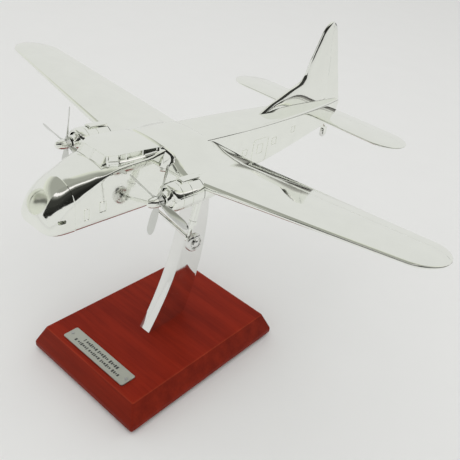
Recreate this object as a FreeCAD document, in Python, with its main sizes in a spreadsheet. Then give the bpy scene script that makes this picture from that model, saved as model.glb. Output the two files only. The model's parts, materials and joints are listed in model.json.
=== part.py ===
"""Display model of a twin-engined, high-wing freighter on a curved blade stand.

Units are millimetres. The nose points along -Y, the left wing along +X and up is +Z. The origin is the
centre of the base's underside. Every driving dimension is a named cell of the sheet "Sizes".
"""
import FreeCAD
import Part
import Sketcher
import math
import os
import re

SIZES = {
    # Wooden base, felt and nameplate
    "base_half_width": 21.45, "base_half_length": 28.8, "base_height": 9.57, "base_flare": 2.94,
    "base_band_height": 3.1, "felt_height": 0.8, "felt_inset": 1.2, "base_corner_radius": 1.4,
    "plate_length": 29.0, "plate_width": 5.2, "plate_height": 0.5, "plate_centre_y": -24.7,
    "plate_corner_radius": 0.5, "plate_pin_spacing": 26.4, "plate_pin_radius": 0.3,
    "plate_pin_head_radius": 0.55, "plate_pin_head_height": 0.28, "plate_pin_depth": 3.0,
    # Stand blade and what holds it
    "blade_thickness": 4.6, "blade_top": 62.8,
    "stud_centre_y": 13.6, "stud_radius": 1.48, "stud_length": 13.0, "stud_in_blade": 7.5,
    "socket_radius": 2.2, "socket_bore_radius": 1.5, "socket_length": 6.0,
    "foot_screw_y": -1.6, "foot_screw_radius": 1.25, "foot_head_radius": 2.5, "foot_head_height": 1.6,
    "foot_well_radius": 3.3, "foot_well_depth": 3.2, "foot_washer_radius": 3.0,
    "foot_washer_height": 0.4, "foot_screw_grip": 7.0, "dowel_radius": 0.75, "dowel_y": 4.6,
    "dowel_length": 6.0,
    # Nose-up attitude of the aeroplane on its stand, in degrees about a line across the belly
    "flight_pitch": 3.742, "flight_pivot_height": 70.0,
    # Fuselage outline
    "body_half_width": 7.1, "nose_half_width": 7.1, "belly_height": 62.1, "roof_height": 78.5,
    "seam_y": -33.6, "seam_roof_height": 73.6, "screen_y": -25.0, "screen_roof_height": 76.2,
    "nose_depth": 6.8, "nose_shrink": 4.6, "nose_roof_drop": 4.0, "nose_roof_slope": 0.72,
    "nose_chin_rise": 1.0, "belly_droop": 0.027, "belly_droop_y": -11.0,
    "tail_end_y": 84.5, "taper_start_y": 14.0,
    "taper_length": 77.0, "belly_rise_y": 20.0, "belly_slope": 0.137, "belly_radius": 1.4,
    "shoulder_radius": 4.4, "wall": 1.2, "boss_radius": 1.5, "pin_radius": 0.6, "pin_length": 4.0,
    "radome_radius": 3.6, "radome_y": -37.2, "radome_height": 67.4,
    "canopy_half_width": 6.7, "canopy_roof_height": 79.6, "canopy_end_y": -8.6,
    # Wing
    "half_span": 82.3, "wing_root_x": 3.0, "wing_break_x": 17.0, "wing_front_y": -7.45,
    "wing_front_sweep": 0.14, "wing_rear_y": 18.5, "wing_rear_sweep": 0.04, "wing_height": 72.8,
    "wing_dihedral": 0.085, "wing_tip_length": 6.7, "wing_root_depth": 0.17, "wing_tip_depth": 0.12,
    "wing_set": 0.025, "spar_radius": 0.6, "spar_reach": 12.0, "front_spar_y": -0.5,
    "rear_spar_y": 8.5,
    # Tail surfaces
    "tail_half_span": 37.8, "tail_front_y": 63.5, "tail_rear_y": 80.6, "tail_height": 75.7,
    "tail_tip_length": 8.4, "tail_depth": 0.10, "tail_root_x": 0.0, "fin_half_depth": 1.0,
    "fin_top": 106.8, "tail_pin_y": 72.0,
    # Engines
    "engine_x": 18.4, "engine_height": 71.5, "cowl_front_y": -16.3, "cowl_rear_y": -6.8,
    "cowl_radius": 3.8, "cowl_lip_radius": 2.5, "cowl_wall": 0.6,
    "core_front_gap": 1.3, "bush_radius": 1.2, "bush_flange_radius": 1.7, "bush_front_gap": 0.25,
    "bush_length": 4.0, "shaft_radius": 0.5, "shaft_clearance": 0.05, "collar_radius": 1.0,
    "collar_length": 0.8, "collar_gap": 0.12, "cavity_radius": 1.5,
    "disc_y": -18.8, "hub_radius": 1.4, "hub_half_length": 0.8, "spinner_length": 2.6,
    "blade_reach": 10.95, "blade_chord": 1.6, "blade_depth": 0.34,
    "nacelle_length": 17.0, "scoop_half_width": 1.15, "scoop_length": 5.8, "scoop_top": 75.9,
    # Undercarriage
    "wheel_x": 22.0, "wheel_y": -8.7, "wheel_height": 58.1, "wheel_radius": 2.6, "wheel_width": 1.8,
    "wheel_recess": 0.35, "wheel_rim_radius": 1.75, "axle_radius": 0.45, "axle_clearance": 0.05,
    "axle_head_radius": 0.9, "axle_head_length": 0.35, "axle_gap": 0.12, "axle_inboard": 1.95,
    "leg_radius": 0.62, "leg_foot_radius": 0.85, "leg_top_y": -5.2, "strut_radius": 0.38,
    "strut_y": -11.6, "strut_height": 63.6,
    "tail_wheel_y": 80.6, "tail_wheel_height": 65.2, "tail_wheel_radius": 1.7,
    "tail_wheel_width": 1.1, "tail_axle_radius": 0.3, "fork_half_gap": 0.67, "fork_wall": 0.4,
}

SIDES = (("left", 1), ("right", -1))
LEVEL = ("base_block", "felt_pad", "nameplate", "nameplate_pins", "stand_blade", "stand_dowel", "foot_screw",
         "foot_washer")
TURN = {
    "x": FreeCAD.Rotation(), "-x": FreeCAD.Rotation(FreeCAD.Vector(0, 0, 1), 180),
    "y": FreeCAD.Rotation(FreeCAD.Vector(0, 0, 1), 90),
    "-y": FreeCAD.Rotation(FreeCAD.Vector(0, 0, 1), -90),
    "z": FreeCAD.Rotation(FreeCAD.Vector(0, 1, 0), -90),
    "-z": FreeCAD.Rotation(FreeCAD.Vector(0, 1, 0), 90),
}

doc = FreeCAD.newDocument("freighter_on_stand")
sheet = doc.addObject("Spreadsheet::Sheet", "Sizes")
for row, (alias, value) in enumerate(SIZES.items(), start=1):
    sheet.set("A%d" % row, alias)
    sheet.set("B%d" % row, "%g" % value)
    sheet.setAlias("B%d" % row, alias)
doc.recompute()
nodes = []


def size(alias):
    """A driving dimension, read from the sheet."""
    return float(sheet.get(alias))


def vector(x, y, z):
    return FreeCAD.Vector(x, y, z)


def sized(text):
    """An expression with each alias pointed at its cell."""
    return re.sub(r"[a-z][a-z_]+", lambda word: "Sizes." + word[0] if word[0] in SIZES else word[0], text)


def bind(item, field, text):
    item.setExpression(field, sized(text))


def place(item, where, axis="x"):
    """Turns the piece's own X axis to the given one and binds its place to the sheet."""
    item.Placement = FreeCAD.Placement(vector(0, 0, 0), TURN[axis])
    for field, text in zip("xyz", where):
        bind(item, "Placement.Base." + field, text)
    return item


def keep(item, label):
    """Marks an object as a sub-part; one that belongs to the aeroplane is first tilted nose-up."""
    if label in LEVEL:
        item.Label = label
        nodes.append(item)
        return item
    item.Label = label + "_level"
    tilted = doc.addObject("Part::Compound", label + "_tilted")
    tilted.Links = [item]
    tilted.Label = label
    tilted.Placement = FreeCAD.Placement(vector(0, 0, 0), FreeCAD.Rotation(vector(1, 0, 0), -size("flight_pitch")))
    bind(tilted, "Placement.Base.y", "-flight_pivot_height * sin(flight_pitch * 1 deg)")
    bind(tilted, "Placement.Base.z", "flight_pivot_height * (1 - cos(flight_pitch * 1 deg))")
    nodes.append(tilted)
    return item


def flown(shape):
    """The aeroplane's own frame turned to its attitude on the stand."""
    return shape.rotated(vector(0, 0, size("flight_pivot_height")), vector(1, 0, 0), -size("flight_pitch"))


def feature(label, shape):
    item = doc.addObject("Part::Feature", label)
    item.Shape = shape
    return keep(item, label)


def outline(body, role, name, corners):
    """A closed sketch of straight edges whose corners are all bound to the sheet."""
    sketch = body.newObject("Sketcher::SketchObject", name)
    plane = [item for item in body.Origin.OriginFeatures if item.Role == role][0]
    sketch.AttachmentSupport = [(plane, "")]
    sketch.MapMode = "FlatFace"
    count = len(corners)
    rough = [vector(math.cos(2 * math.pi * k / count), math.sin(2 * math.pi * k / count), 0)
             for k in range(count)]
    for k in range(count):
        sketch.addGeometry(Part.LineSegment(rough[k], rough[(k + 1) % count]), False)
    for k in range(count):
        sketch.addConstraint(Sketcher.Constraint("Coincident", k, 2, (k + 1) % count, 1))
    for k, corner in enumerate(corners):
        for kind, text, start in (("DistanceX", corner[0], rough[k].x), ("DistanceY", corner[1], rough[k].y)):
            index = sketch.addConstraint(Sketcher.Constraint(kind, -1, 1, k, 1, start))
            bind(sketch, "Constraints[%d]" % index, text)
    return sketch


def turned(name, profile):
    """A body of revolution about its own X axis; the profile is (along, radius) pairs."""
    body = doc.addObject("PartDesign::Body", name)
    sketch = outline(body, "XY_Plane", name + "_profile", profile)
    doc.recompute()
    revolution = body.newObject("PartDesign::Revolution", name + "_turning")
    revolution.Profile = sketch
    revolution.ReferenceAxis = (sketch, ["H_Axis"])
    revolution.Angle = 360
    doc.recompute()
    return body


def padded(name, role, corners, length, midplane=False):
    body = doc.addObject("PartDesign::Body", name)
    sketch = outline(body, role, name + "_outline", corners)
    doc.recompute()
    pad = body.newObject("PartDesign::Pad", name + "_pad")
    pad.Profile = sketch
    pad.Midplane = midplane
    bind(pad, "Length", length)
    doc.recompute()
    return body


def rod(name, radius, length, where, axis="x"):
    """A plain cylinder along the given axis, as a turned bar."""
    return place(turned(name, [("0", "0"), (length, "0"), (length, radius), ("0", radius)]), where, axis)


def cut(name, body, tools):
    result = doc.addObject("Part::Cut", name)
    result.Base = body
    if len(tools) > 1:
        group = doc.addObject("Part::MultiFuse", name + "_tools")
        group.Shapes = tools
        result.Tool = group
    else:
        result.Tool = tools[0]
    return result


def fuse(name, pieces):
    result = doc.addObject("Part::MultiFuse", name)
    result.Shapes = pieces
    return result


def bar(start, end, radius, end_radius=None):
    """A round bar between two points, tapered when a second radius is given."""
    along = end - start
    if end_radius is None:
        return Part.makeCylinder(radius, along.Length, start, along)
    return Part.makeCone(radius, end_radius, along.Length, start, along)


# Base

def make_base():
    lower = doc.addObject("Part::Box", "base_band")
    for field, text in (("Length", "2 * (base_half_width + base_flare)"),
                        ("Width", "2 * (base_half_length + base_flare)"),
                        ("Height", "base_band_height - felt_height")):
        bind(lower, field, text)
    bind(lower, "Placement.Base.x", "-(base_half_width + base_flare)")
    bind(lower, "Placement.Base.y", "-(base_half_length + base_flare)")
    bind(lower, "Placement.Base.z", "felt_height")
    upper = doc.addObject("Part::Wedge", "base_slope")
    for field, text in (("Xmin", "-(base_half_width + base_flare)"), ("Xmax", "base_half_width + base_flare"),
                        ("Zmin", "-(base_half_length + base_flare)"),
                        ("Zmax", "base_half_length + base_flare"), ("Ymin", "0"),
                        ("Ymax", "base_height - base_band_height"), ("X2min", "-base_half_width"),
                        ("X2max", "base_half_width"), ("Z2min", "-base_half_length"),
                        ("Z2max", "base_half_length")):
        bind(upper, field, text)
    upper.Placement.Rotation = FreeCAD.Rotation(vector(1, 0, 0), 90)
    bind(upper, "Placement.Base.z", "base_band_height")
    block = fuse("base_blank", [lower, upper])
    block.Refine = True
    doc.recompute()
    rounded = doc.addObject("Part::Fillet", "base_rounded")
    rounded.Base = block
    radius = size("base_corner_radius")
    rounded.Edges = [(index, radius, radius) for index, edge in enumerate(block.Shape.Edges, start=1)
                     if abs(edge.Vertexes[0].Z - edge.Vertexes[-1].Z) > 0.5]
    well = rod("base_screw_well", "foot_well_radius", "foot_well_depth",
               ("0", "foot_screw_y", "felt_height"), "z")
    screw_hole = rod("base_screw_hole", "foot_screw_radius + 0.1", "base_height + 1",
                     ("0", "foot_screw_y", "0"), "z")
    dowel_hole = rod("base_dowel_hole", "dowel_radius", "dowel_length / 2",
                     ("0", "dowel_y", "base_height - dowel_length / 2"), "z")
    pins = [rod("base_pin_hole_" + side, "plate_pin_radius", "plate_pin_depth",
                ("%d * plate_pin_spacing / 2" % sign, "plate_centre_y", "base_height - plate_pin_depth"), "z")
            for side, sign in SIDES]
    keep(cut("base_block", rounded, [well, screw_hole, dowel_hole] + pins), "base_block")
    felt = doc.addObject("Part::Box", "felt_pad")
    for field, text in (("Length", "2 * (base_half_width + base_flare - felt_inset)"),
                        ("Width", "2 * (base_half_length + base_flare - felt_inset)"),
                        ("Height", "felt_height")):
        bind(felt, field, text)
    bind(felt, "Placement.Base.x", "-(base_half_width + base_flare - felt_inset)")
    bind(felt, "Placement.Base.y", "-(base_half_length + base_flare - felt_inset)")
    keep(felt, "felt_pad")


def make_nameplate():
    plate = padded("nameplate_blank", "XY_Plane",
                   [("-plate_length / 2", "-plate_width / 2"), ("plate_length / 2", "-plate_width / 2"),
                    ("plate_length / 2", "plate_width / 2"), ("-plate_length / 2", "plate_width / 2")],
                   "plate_height")
    pad = plate.Tip
    upright = ["Edge%d" % index for index, edge in enumerate(pad.Shape.Edges, start=1)
               if abs(edge.Vertexes[0].Z - edge.Vertexes[-1].Z) > 0.1]
    corners = plate.newObject("PartDesign::Fillet", "nameplate_corners")
    corners.Base = (pad, upright)
    bind(corners, "Radius", "plate_corner_radius")
    place(plate, ("0", "plate_centre_y", "base_height"))
    holes = [rod("plate_hole_" + side, "plate_pin_radius", "plate_height + 1",
                 ("%d * plate_pin_spacing / 2" % sign, "plate_centre_y", "base_height - 0.5"), "z")
             for side, sign in SIDES]
    keep(cut("nameplate", plate, holes), "nameplate")
    profile = [("-plate_pin_depth", "0"), ("plate_height + plate_pin_head_height", "0"),
               ("plate_height + plate_pin_head_height", "plate_pin_head_radius / 2"),
               ("plate_height + plate_pin_head_height / 2", "plate_pin_head_radius * 0.85"),
               ("plate_height", "plate_pin_head_radius"), ("plate_height", "plate_pin_radius"),
               ("-plate_pin_depth", "plate_pin_radius")]
    pins = [place(turned("nameplate_pin_" + side, profile),
                  ("%d * plate_pin_spacing / 2" % sign, "plate_centre_y", "base_height"), "z")
            for side, sign in SIDES]
    keep(fuse("nameplate_pins", pins), "nameplate_pins")


# Stand

def blade_outline():
    """Side view of the blade: two long arcs that lean back and then rise into the belly."""
    foot, top = size("base_height"), size("blade_top")
    front = Part.Arc(vector(0, -6.9, foot), vector(0, 4.2, 33.0), vector(0, 9.7, top)).toShape()
    rear = Part.Arc(vector(0, 16.7, top), vector(0, 15.4, 30.3), vector(0, 9.0, foot)).toShape()
    head = Part.makeLine(vector(0, 9.7, top), vector(0, 16.7, top))
    heel = Part.makeLine(vector(0, 9.0, foot), vector(0, -6.9, foot))
    return Part.Wire([front, head, rear, heel])


def make_stand(outer):
    """The blade, its top cut to the tilted belly, with the stud and socket square to the belly."""
    half = size("blade_thickness") / 2
    blade = Part.Face(blade_outline()).extrude(vector(2 * half, 0, 0))
    blade.translate(vector(-half, 0, 0))
    foot = size("base_height")
    stud_start = size("belly_height") - size("stud_in_blade")
    stud_hole = Part.makeCylinder(size("stud_radius"), size("stud_in_blade") + 3,
                                  vector(0, size("stud_centre_y"), stud_start))
    socket_seat = Part.makeCylinder(size("socket_radius") + 0.1, 5,
                                    vector(0, size("stud_centre_y"), size("belly_height") - 0.06))
    holes = [
        Part.makeCylinder(size("foot_screw_radius"), size("foot_screw_grip"), vector(0, size("foot_screw_y"), foot)),
        Part.makeCylinder(size("dowel_radius"), size("dowel_length") / 2, vector(0, size("dowel_y"), foot)),
        flown(stud_hole), flown(outer), flown(socket_seat),
    ]
    for hole in holes:
        blade = blade.cut(hole)
    feature("stand_blade", max(blade.Solids, key=lambda solid: solid.Volume))
    keep(rod("stand_stud", "stud_radius", "stud_length",
             ("0", "stud_centre_y", "belly_height - stud_in_blade"), "z"), "stand_stud")
    keep(rod("stand_dowel", "dowel_radius", "dowel_length", ("0", "dowel_y", "base_height - dowel_length / 2"), "z"),
         "stand_dowel")
    seat = "felt_height + foot_well_depth"
    keep(place(turned("foot_screw", [
        ("-(foot_washer_height + foot_head_height)", "0"),
        ("base_height - %s + foot_screw_grip" % ("(%s)" % seat), "0"),
        ("base_height - %s + foot_screw_grip" % ("(%s)" % seat), "foot_screw_radius"),
        ("-foot_washer_height", "foot_screw_radius"), ("-foot_washer_height", "foot_head_radius"),
        ("-(foot_washer_height + foot_head_height * 0.7)", "foot_head_radius"),
        ("-(foot_washer_height + foot_head_height)", "foot_head_radius * 0.8")]),
        ("0", "foot_screw_y", seat), "z"), "foot_screw")
    keep(place(turned("foot_washer", [
        ("-foot_washer_height", "foot_screw_radius"), ("0", "foot_screw_radius"), ("0", "foot_washer_radius"),
        ("-foot_washer_height", "foot_washer_radius")]),
        ("0", "foot_screw_y", seat), "z"), "foot_washer")
    keep(place(turned("belly_socket", [
        ("0", "socket_bore_radius"), ("socket_length", "socket_bore_radius"), ("socket_length", "socket_radius"),
        ("0", "socket_radius")]), ("0", "stud_centre_y", "belly_height"), "z"), "belly_socket")


# Fuselage

def half_width(y):
    """Half width of the fuselage: full in the hold, then a parabola in to the sternpost."""
    full, start = size("body_half_width"), size("taper_start_y")
    if y <= size("screen_y"):
        share = (y - size("seam_y")) / (size("screen_y") - size("seam_y"))
        return size("nose_half_width") + (full - size("nose_half_width")) * share
    return full * (1 - (max(y - start, 0) / size("taper_length")) ** 2)


def belly(y):
    return (size("belly_height") + size("belly_slope") * max(y - size("belly_rise_y"), 0)
            - size("belly_droop") * max(size("belly_droop_y") - y, 0))


def roof(y):
    points = ((size("seam_y"), size("seam_roof_height")), (size("screen_y"), size("screen_roof_height")),
              (size("canopy_end_y"), size("roof_height")))
    for (y0, z0), (y1, z1) in zip(points, points[1:]):
        if y <= y1:
            return z0 + (z1 - z0) * (y - y0) / (y1 - y0)
    return size("roof_height")


def section(y, width, low, high, lower_radius, upper_radius):
    """A slab-sided cross-section at y, with small lower corners and large shoulders."""
    upper = min(upper_radius, width * 0.62, (high - low) * 0.45)
    lower = min(lower_radius, width * 0.3)

    def arc(x, z, radius, start):
        angles = [math.radians(start + turn) for turn in (0, 45, 90)]
        return Part.Arc(*[vector(x + radius * math.cos(a), y, z + radius * math.sin(a)) for a in angles]).toShape()

    arcs = [arc(width - lower, low + lower, lower, -90), arc(width - upper, high - upper, upper, 0),
            arc(-width + upper, high - upper, upper, 90), arc(-width + lower, low + lower, lower, 180)]
    edges = []
    for one, two in zip(arcs, arcs[1:] + arcs[:1]):
        edges += [one, Part.makeLine(one.lastVertex(True).Point, two.firstVertex(True).Point)]
    return Part.Wire(edges)


def hull(stations, inset=0.0):
    """The fuselage's outer form between stations, or the same form drawn in by the inset."""
    rings = [section(y, half_width(y) - inset, belly(y) + inset, roof(y) - inset,
                     max(size("belly_radius") - inset, 0.3), size("shoulder_radius") - inset)
             for y in stations]
    return Part.makeLoft(rings, True, True)


def nose_form():
    """The nose ahead of the door seam: full and blunt below, its shoulders falling to the ball in front."""
    start, depth = size("seam_y"), size("nose_depth")
    rings = []
    for step in range(8):
        angle = math.radians(83) * step / 7
        along, share = depth * math.sin(angle), 1 - math.cos(angle)
        low = belly(start) + size("nose_chin_rise") * share ** 2
        rings.append(section(start - along, half_width(start) - size("nose_shrink") * share ** 1.9, low,
                             roof(start) - size("nose_roof_drop") * share - size("nose_roof_slope") * along,
                             1.2, size("shoulder_radius")))
    return Part.makeLoft(rings, True, True)


def half_space(sign):
    return Part.makeBox(40, 200, 200, vector(0 if sign > 0 else -40, -80, 0))


def make_fuselage(wings):
    start, end = size("seam_y"), size("tail_end_y")
    stations = [start, size("screen_y"), size("belly_droop_y"), size("canopy_end_y"), size("taper_start_y")]
    stations += [22 + 8.5 * step for step in range(7)] + [end]
    outer = hull(stations)
    inner = hull([start + size("wall")] + stations[1:-2], size("wall"))
    bosses = [(-23.0, 66.0), (23.0, 67.5), (38.0, 70.5), (57.0, 73.8)]
    shell = outer.cut(inner)
    pins = []
    for y, z in bosses:
        reach = half_width(y) - size("wall") / 2
        shell = shell.fuse(Part.makeCylinder(size("boss_radius"), 2 * reach, vector(-reach, y, z), vector(1, 0, 0)))
        pins.append(Part.makeCylinder(size("pin_radius"), size("pin_length"),
                                      vector(-size("pin_length") / 2, y, z), vector(1, 0, 0)))
    shell = shell.cut(Part.makeCylinder(size("socket_radius"), size("socket_length"),
                                        vector(0, size("stud_centre_y"), size("belly_height") - 0.01)))
    tail_pin = Part.makeCylinder(size("pin_radius"), 2 * size("body_half_width"),
                                 vector(-size("body_half_width"), size("tail_pin_y"), size("tail_height")),
                                 vector(1, 0, 0))
    for tool in pins + wings + [tail_pin]:
        shell = shell.cut(tool)
    for side, sign in SIDES:
        feature("fuselage_%s_half" % side, shell.common(half_space(sign)))
    feature("fuselage_dowels", Part.makeCompound(pins))
    nose = nose_form()
    radome = Part.makeSphere(size("radome_radius"), vector(0, size("radome_y"), size("radome_height")))
    feature("nose_cap", nose.cut(radome))
    feature("radome", radome.cut(outer))
    return outer


def make_canopy(outer):
    """The flight deck, a raised block with a raked two-pane windscreen."""
    front, back = size("screen_y"), size("canopy_end_y")
    width, top = size("canopy_half_width"), size("canopy_roof_height")
    low = size("screen_roof_height") - 3.0
    rings = [section(front - 0.2, width - 1.9, low, low + 3.1, 0.3, 0.6),
             section(front + 1.4, width - 1.6, low, top - 0.95, 0.3, 0.8),
             section(front + 3.6, width - 0.2, low, top - 0.3, 0.3, 1.2),
             section(front + 9.0, width, low, top, 0.3, 1.6),
             section(back, width - 0.1, low, size("roof_height") + 0.3, 0.3, 2.0)]
    feature("cockpit_canopy", Part.makeLoft(rings, True, True).cut(outer))


# Wing and tail

def aerofoil(chord, depth, steps=12):
    """Chordwise (along, up) points of a symmetric-thickness section, nose first, upper side then lower."""
    shares = [0.5 - 0.5 * math.cos(math.pi * step / steps) for step in range(steps + 1)]

    def half_depth(share):
        return 5 * depth * (0.2969 * math.sqrt(share) - 0.126 * share - 0.3516 * share ** 2
                            + 0.2843 * share ** 3 - 0.1015 * share ** 4)

    upper = [(share * chord, half_depth(share) * chord * 1.15) for share in reversed(shares)]
    lower = [(share * chord, -half_depth(share) * chord * 0.85) for share in shares[1:]]
    return upper + lower


def rib(x, front, rear, height, depth):
    """One closed wing section in the plane at x."""
    points = [vector(x, front + along, height + up) for along, up in aerofoil(rear - front, depth)]
    middle = len(points) // 2
    upper, lower = Part.BSplineCurve(), Part.BSplineCurve()
    upper.interpolate(points[:middle + 1])
    lower.interpolate(points[middle:])
    return Part.Wire([upper.toShape(), lower.toShape(), Part.makeLine(points[-1], points[0])])


def wing_ribs(sign):
    """Stations from root to tip; the planform closes in a half ellipse at the tip."""
    reach, tip = size("half_span"), size("wing_tip_length")
    straight = [size("wing_root_x"), size("wing_break_x"), reach - tip]
    rounded = [reach - tip + tip * math.sin(math.radians(angle)) for angle in (25, 45, 60, 72, 81)]
    ribs = []
    for x in straight + rounded:
        outboard = max(x - size("wing_break_x"), 0)
        front = size("wing_front_y") + size("wing_front_sweep") * outboard
        rear = size("wing_rear_y") - size("wing_rear_sweep") * outboard
        share = math.sqrt(max(1 - (max(x - reach + tip, 0) / tip) ** 2, 0))
        middle, chord = (front + rear) / 2, (rear - front) * share
        depth = size("wing_root_depth") + (size("wing_tip_depth") - size("wing_root_depth")) * x / reach
        height = size("wing_height") + size("wing_dihedral") * outboard
        ribs.append(rib(sign * x, middle - chord / 2, middle + chord / 2, height, depth))
    return ribs


def surface(ribs):
    """Lofts a wing: ruled over its straight part and over each short step of the rounded tip."""
    return Part.makeLoft(ribs, True, True)


def make_wings():
    wings = []
    rods = [Part.makeCylinder(size("spar_radius"), 2 * size("spar_reach"),
                              vector(-size("spar_reach"), size(name), size("wing_height")), vector(1, 0, 0))
            for name in ("front_spar_y", "rear_spar_y")]
    for side, sign in SIDES:
        wing = surface(wing_ribs(sign))
        barrel = Part.makeCylinder(size("cowl_radius"), 10,
                                   vector(sign * size("engine_x"), size("cowl_rear_y") - 10, size("engine_height")),
                                   vector(0, 1, 0))
        wing = wing.cut(barrel)
        wings.append(wing.copy())
        for tool in rods:
            wing = wing.cut(tool)
        feature("wing_%s" % side, wing)
    feature("wing_spar_rods", Part.makeCompound(rods))
    return wings


def make_tailplane(outer, fin):
    reach, tip = size("tail_half_span"), size("tail_tip_length")
    tail_pin = Part.makeCylinder(size("pin_radius"), 12, vector(-6, size("tail_pin_y"), size("tail_height")),
                                 vector(1, 0, 0))
    for side, sign in SIDES:
        xs = [size("tail_root_x"), reach - tip]
        xs += [reach - tip + tip * math.sin(math.radians(angle)) for angle in (25, 45, 60, 72, 81)]
        ribs = []
        for x in xs:
            share = math.sqrt(max(1 - (max(x - reach + tip, 0) / tip) ** 2, 0))
            middle = (size("tail_front_y") + size("tail_rear_y")) / 2
            chord = (size("tail_rear_y") - size("tail_front_y")) * share
            ribs.append(rib(sign * x, middle - chord / 2, middle + chord / 2, size("tail_height"), size("tail_depth")))
        feature("tailplane_%s" % side, surface(ribs).cut(outer).cut(fin).cut(tail_pin))
    feature("tailplane_rod", tail_pin.cut(fin))


def fin_outline():
    """Side view of the fin and rudder, from the dorsal fillet round the rounded tip to the sternpost."""
    high = size("fin_top")
    dorsal = Part.BSplineCurve()
    dorsal.interpolate([vector(0, 32.0, 75.6), vector(0, 43.9, 81.5), vector(0, 53.3, 85.5), vector(0, 57.4, 87.2),
                        vector(0, 59.7, 89.4), vector(0, 61.0, 93.4)])
    front = Part.makeLine(vector(0, 61.0, 93.4), vector(0, 65.6, 103.6))
    tip_front = Part.Arc(vector(0, 65.6, 103.6), vector(0, 67.0, 105.9), vector(0, 69.6, high)).toShape()
    tip_rear = Part.Arc(vector(0, 69.6, high), vector(0, 72.5, 106.4), vector(0, 74.2, 104.0)).toShape()
    rear = Part.makeLine(vector(0, 74.2, 104.0), vector(0, 87.0, 76.2))
    heel = Part.Arc(vector(0, 87.0, 76.2), vector(0, 87.6, 73.2), vector(0, 86.6, 70.4)).toShape()
    post = Part.makeLine(vector(0, 86.6, 70.4), vector(0, 83.5, 70.6))
    inside = Part.makeLine(vector(0, 83.5, 70.6), vector(0, 83.5, 75.6))
    keel = Part.makeLine(vector(0, 83.5, 75.6), vector(0, 32.0, 75.6))
    return Part.Wire([dorsal.toShape(), front, tip_front, tip_rear, rear, heel, post, inside, keel])


def make_fin(outer):
    half = size("fin_half_depth")
    blank = Part.Face(fin_outline()).extrude(vector(2 * half, 0, 0))
    blank.translate(vector(-half, 0, 0))
    fin = blank.cut(outer)
    feature("fin", fin)
    return fin


# Engines

def make_engine(side, sign, wing):
    centre = ("%d * engine_x" % sign, "cowl_front_y", "engine_height")
    length = "(cowl_rear_y - cowl_front_y)"
    inner = "(cowl_radius - cowl_wall)"
    cowl = place(turned("cowling_blank_" + side, [
        ("0", "cowl_lip_radius"), ("0.1", "cowl_lip_radius + 0.45"), ("0.5", "cowl_radius - 0.45"),
        ("1.3", "cowl_radius - 0.12"), ("2.6", "cowl_radius"), (length, "cowl_radius - 0.1"), (length, inner),
        ("core_front_gap", inner), ("0.6", "cowl_lip_radius + 0.1")]), centre, "y")
    keep(cowl, "cowling_" + side)
    bush_start = "disc_y + hub_half_length + bush_front_gap"
    bush_end = "(%s + bush_length)" % bush_start
    core = place(turned("engine_core_blank_" + side, [
        ("cowl_front_y + core_front_gap", "bush_radius"), (bush_end, "bush_radius"), (bush_end, "cavity_radius"),
        ("cowl_rear_y", "cavity_radius"), ("cowl_rear_y", inner), ("cowl_front_y + core_front_gap", inner)]),
        ("%d * engine_x" % sign, "0", "engine_height"), "y")
    keep(core, "engine_core_" + side)
    flange_end = "cowl_front_y + core_front_gap"
    bush = place(turned("shaft_bush_blank_" + side, [
        (bush_start, "shaft_radius + shaft_clearance"), (bush_end, "shaft_radius + shaft_clearance"),
        (bush_end, "bush_radius"), (flange_end, "bush_radius"), (flange_end, "bush_flange_radius"),
        (bush_start + " + 0.5", "bush_flange_radius"), (bush_start, "bush_flange_radius - 0.3")]),
        ("%d * engine_x" % sign, "0", "engine_height"), "y")
    keep(bush, "shaft_bush_" + side)
    collar_start = "(%s + collar_gap)" % bush_end
    shaft_end = "(%s + collar_length + 0.3)" % collar_start
    shaft_start = "disc_y - hub_half_length - 0.6"
    keep(place(turned("propeller_shaft_blank_" + side, [
        (shaft_start, "0"), (shaft_end, "0"), (shaft_end, "shaft_radius"), (shaft_start, "shaft_radius")]),
        ("%d * engine_x" % sign, "0", "engine_height"), "y"), "propeller_shaft_" + side)
    keep(place(turned("shaft_collar_blank_" + side, [
        (collar_start, "shaft_radius"), (collar_start + " + collar_length", "shaft_radius"),
        (collar_start + " + collar_length", "collar_radius"), (collar_start, "collar_radius")]),
        ("%d * engine_x" % sign, "0", "engine_height"), "y"), "shaft_collar_" + side)
    nose_of_hub = "(disc_y - hub_half_length)"
    spinner = place(turned("spinner_blank_" + side, [
        (nose_of_hub, "shaft_radius"), (nose_of_hub, "hub_radius"),
        (nose_of_hub + " - spinner_length * 0.3", "hub_radius * 0.86"),
        (nose_of_hub + " - spinner_length * 0.6", "hub_radius * 0.6"),
        (nose_of_hub + " - spinner_length * 0.85", "hub_radius * 0.3"),
        (nose_of_hub + " - spinner_length", "0"), (nose_of_hub + " - 0.6", "0"),
        (nose_of_hub + " - 0.6", "shaft_radius")]),
        ("%d * engine_x" % sign, "0", "engine_height"), "y")
    keep(spinner, "spinner_" + side)
    make_propeller(side, sign)
    make_nacelle(side, sign, wing)


def blade_section(radius, chord, depth, twist):
    """A thin lens-shaped section across a propeller blade that points up, turned by its twist."""
    turn = math.radians(twist)
    corners = [vector(x * chord / 2, y * depth / 2, 0) for x, y in ((-1, 0), (0, 1), (1, 0), (0, -1))]
    moved = [vector(c.x * math.cos(turn) - c.y * math.sin(turn), c.x * math.sin(turn) + c.y * math.cos(turn), radius)
             for c in corners]
    front = Part.Arc(moved[0], moved[1], moved[2]).toShape()
    back = Part.Arc(moved[2], moved[3], moved[0]).toShape()
    return Part.Wire([front, back])


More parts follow.
